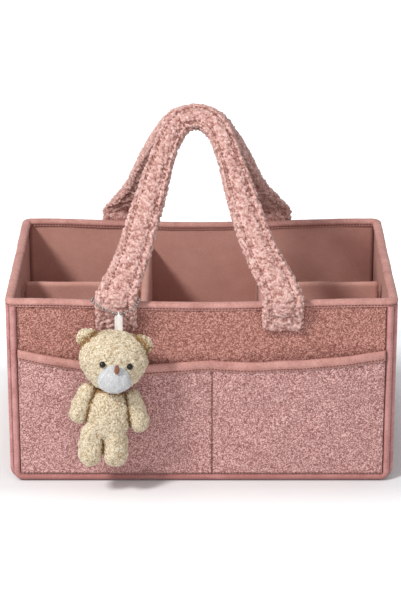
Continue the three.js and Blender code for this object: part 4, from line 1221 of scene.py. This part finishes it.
def ribbon_place(u, v):
    index = round(v * len(loop_outline)) % len(loop_outline)
    y, z = loop_outline[index]
    side, layer = ribbon_ring[round(u * len(ribbon_ring)) % len(ribbon_ring)]
    half = RIBBON_HALF[0] + RIBBON_HALF[1] * smoothstep(loop_top - z, 0.0015, 0.0060)
    out = layer * RIBBON_THICK + math.sin(side * 5.5) * 0.00015 - CLEAR
    return Vector((RIBBON_X + side * half, CHAIN_Y + y, z)) + loop_normal(index) * out


bm = grid_surface(len(ribbon_ring), len(loop_outline), ribbon_place, wrap=True)
finished(bm, "satin_ribbon", white_satin, "bear_charm", ["satin_loop"])

# %% Ball chain
BALL, BALL_PITCH, WIRE = 0.00125, 0.0036, 0.00035
PILE_ROOM = 0.0012
# Place round the foot, sideways and front to back as shares of its half sizes, and rise behind it.
CHAIN_ROUTE = [
    (0.134, 1, 0), (-0.28, 0.97, 0.25), (-0.75, 0.8, 0.75), (-1, 0.3, 1), (-1, -0.35, 1),
    (-0.72, -1, 0.9), (0, -1, 0.9), (0.72, -1, 0.9), (1, -0.35, 1), (1, 0.3, 1),
    (0.9, 0.8, 0.75), (0.54, 0.97, 0.25),
]
chain_back = FOOT_BACK - PILE_ROOM - CLEAR
chain_points = []
for u, v, up in CHAIN_ROUTE + CHAIN_ROUTE[:1]:
    x = HANDLES["front"]["shift"] - FOOT_HALF_SPACING + u * (FOOT_HALF_WIDTH + PILE_ROOM + BALL)
    y = (CHAIN_Y - chain_back + v * (CHAIN_Y + chain_back)) / 2
    chain_points.append(Vector((x, y, CHAIN_Z + up * (FOOT_TOP - 0.0048 - CHAIN_Z))))
wrapped = chain_points[-3:-1] + chain_points + chain_points[1:3]
shares = [(2 + i / 20) / (len(wrapped) - 1) for i in range(20 * len(CHAIN_ROUTE) + 1)]
chain_places = spaced([smooth_line(wrapped, share) for share in shares], BALL_PITCH)


def add_ball(batch, pair):
    matrix = Matrix.Translation(pair[0])
    bmesh.ops.create_icosphere(batch, subdivisions=3, radius=BALL, matrix=matrix)


bm = batched(chain_places, 20, add_ball)
for (here, _), (there, _) in zip(chain_places, chain_places[1:] + chain_places[:1]):
    step = there - here
    bmesh.ops.create_cone(
        bm, cap_ends=True, segments=6, radius1=WIRE, radius2=WIRE, depth=step.length,
        matrix=aimed((here + there) / 2, step, "Z", "Y"),
    )
finished(bm, "steel_ball_chain", chain_steel, "caddy", ["ball_chain"])
print("chain made:", len(chain_places), "balls")

# %% [markdown]
# ## Linings and hook tapes
# The walls and the base are lined with one sheet of thin felt each, stretched over the board and
# a little uneven. The strips of hook tape on the lift-out dividers have rows of fine hooks.

# %% Linings and hook tapes
def facing_sheet(node, facing, pitch, height, dip=lambda x: 0):
    """A flat closed sheet in a node's box. facing is the way it looks along its thin side."""
    low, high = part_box(node)
    size = [there - here for here, there in zip(low, high)]
    thin = min(range(3), key=lambda i: size[i])
    across, along = [i for i in range(3) if i != thin]
    face = high[thin] if facing > 0 else low[thin]

    def place(u, v):
        point = Vector((0, 0, 0))
        point[across] = low[across] + size[across] * u
        point[along] = low[along] + (size[along] - dip(point.x)) * v
        edge = min(u, 1 - u, v, 1 - v)
        point[thin] = face - facing * (CLEAR - height(point) * smoothstep(edge, 0, 0.03))
        return point

    steps = [max(int(size[i] / step), 1) for i, step in zip((across, along), pitch)]
    shift = Vector((0, 0, 0))
    shift[thin] = -facing * (size[thin] - CLEAR)
    return backed(grid_surface(*steps, place), shift), (size[across], size[along])


def felt_height(point):
    return ripple(point, 0.03, 0.0002) + ripple(point, 0.004, 0.00008)


def hook_height(point):
    rows = math.sin(point.y * math.tau / 0.0012) * math.sin(point.z * math.tau / 0.0016)
    return 0.0003 * rows * rows


FELT_PITCH = (0.004 * FINE, 0.004 * FINE)
HOOK_PITCH = (0.0003 * FINE, 0.0004 * FINE)
for side, facing in (("front", 1), ("back", -1), ("left", 1), ("right", -1), ("base", 1)):
    node, name = f"{side}_lining", f"{side}_felt_lining"
    dips = {"dip": sag} if side in FACES else {}
    bm, cut = facing_sheet(node, facing, FELT_PITCH, felt_height, **dips)
    piece = finished(bm, name, lining_felt, "caddy", [node])
    area = cut[0] * (cut[1] - (RIM_SAG / 2 if dips else 0))
for side in ("left", "right"):
    for end, facing in (("left", -1), ("right", 1)):
        node = f"{side}_cross_{end}_hook_tape"
        bm, _ = facing_sheet(node, facing, HOOK_PITCH, hook_height)
        finished(bm, f"{side}_divider_{end}_hooks", hook_tape, f"{side}_divider", [node])
print("linings and hook tapes made")

# %% [markdown]
# ## Boards
# The boards inside the walls and the base already have the right shape, so they only get a pale
# board finish.

# %% Finish for the boards
for name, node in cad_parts.items():
    if name.endswith("_board") and not node.hide_render:
        for material_slot in node.material_slots:
            material_slot.material = wall_board

# %% [markdown]
# ## Floor, light and camera
# The photo is a studio picture: a white floor that runs into a white background, a large soft
# light from the upper left and the front, and faint shadows to the right. The floor glows a
# little away from the caddy, for the camera only, so that it reaches the white of the background.

# %% Floor
GLOW = {"half_x": 0.19, "half_y": 0.125, "near": 0.012, "far": 0.12}
paint = Shader(bpy.data.materials.new("floor_paint"))
tones = (0.3, (0.78, 0.79, 0.80)), (0.7, (0.81, 0.82, 0.83))
paint.set(Base_Color=paint.ramp(paint.grain(3, 2), *tones), Roughness=0.9)
glowing = paint.beyond(**GLOW) * paint.ray_seen()
glow = paint.ramp(glowing, (0.0, (0.0, 0.0, 0.0)), (1.0, (1.0, 1.0, 1.0)))
paint.set(Emission_Color=glow, Emission_Strength=0.5)
bm = bmesh.new()
bmesh.ops.create_grid(bm, x_segments=8, y_segments=8, size=6)
finished(bm, "studio_floor", paint.owner, None)

# %% Light
world = bpy.data.worlds.new("studio")
bpy.context.scene.world = world
sky = Shader(world)
sky.tree.nodes.clear()
white = {"Color": (1, 1, 1, 1), "Strength": 1.0}
soft_fill = {"Color": (0.97, 0.98, 1.0, 1), "Strength": 0.55}
seen = sky.node("ShaderNodeBackground", "Background", None, white)
fill = sky.node("ShaderNodeBackground", "Background", None, soft_fill)
chosen = sky.node("ShaderNodeMixShader", "Shader", None, {"Fac": sky.ray_seen(), 1: fill, 2: seen})
sky.feed(sky.tree.nodes.new("ShaderNodeOutputWorld").inputs["Surface"], chosen)


def area_light(name, place, aim, size, power, color):
    data = bpy.data.lights.new(name, "AREA")
    data.shape = "DISK"
    data.size, data.energy, data.color = size, power, color
    light = bpy.data.objects.new(name, data)
    bpy.context.scene.collection.objects.link(light)
    light.location = place
    light.rotation_euler = (Vector(aim) - Vector(place)).to_track_quat("-Z", "Y").to_euler()


area_light("key", (-1.5, -1.5, 2.1), (0, 0, 0.12), 0.5, 63, (1.0, 0.99, 0.97))
area_light("front_fill", (0.6, -2.6, 1.0), (0, 0, 0.1), 1.8, 9, (1.0, 0.98, 0.97))

# %% Camera
CAMERA_PLACE, CAMERA_TILT = (0.0, -2.1958, 0.9751), 69.280
LENS = {"sensor_fit": "HORIZONTAL", "sensor_width": 36, "lens": 206.4, "shift_x": -0.0028}
camera_data = bpy.data.cameras.new("photo_camera")
for key, value in {**LENS, "clip_start": 0.05, "clip_end": 50}.items():
    setattr(camera_data, key, value)
camera = bpy.data.objects.new("photo_camera", camera_data)
camera.location, camera.rotation_euler = CAMERA_PLACE, (math.radians(CAMERA_TILT), 0, 0)
bpy.context.scene.collection.objects.link(camera)
bpy.context.scene.camera = camera
bpy.context.scene.view_settings.view_transform = "Standard"
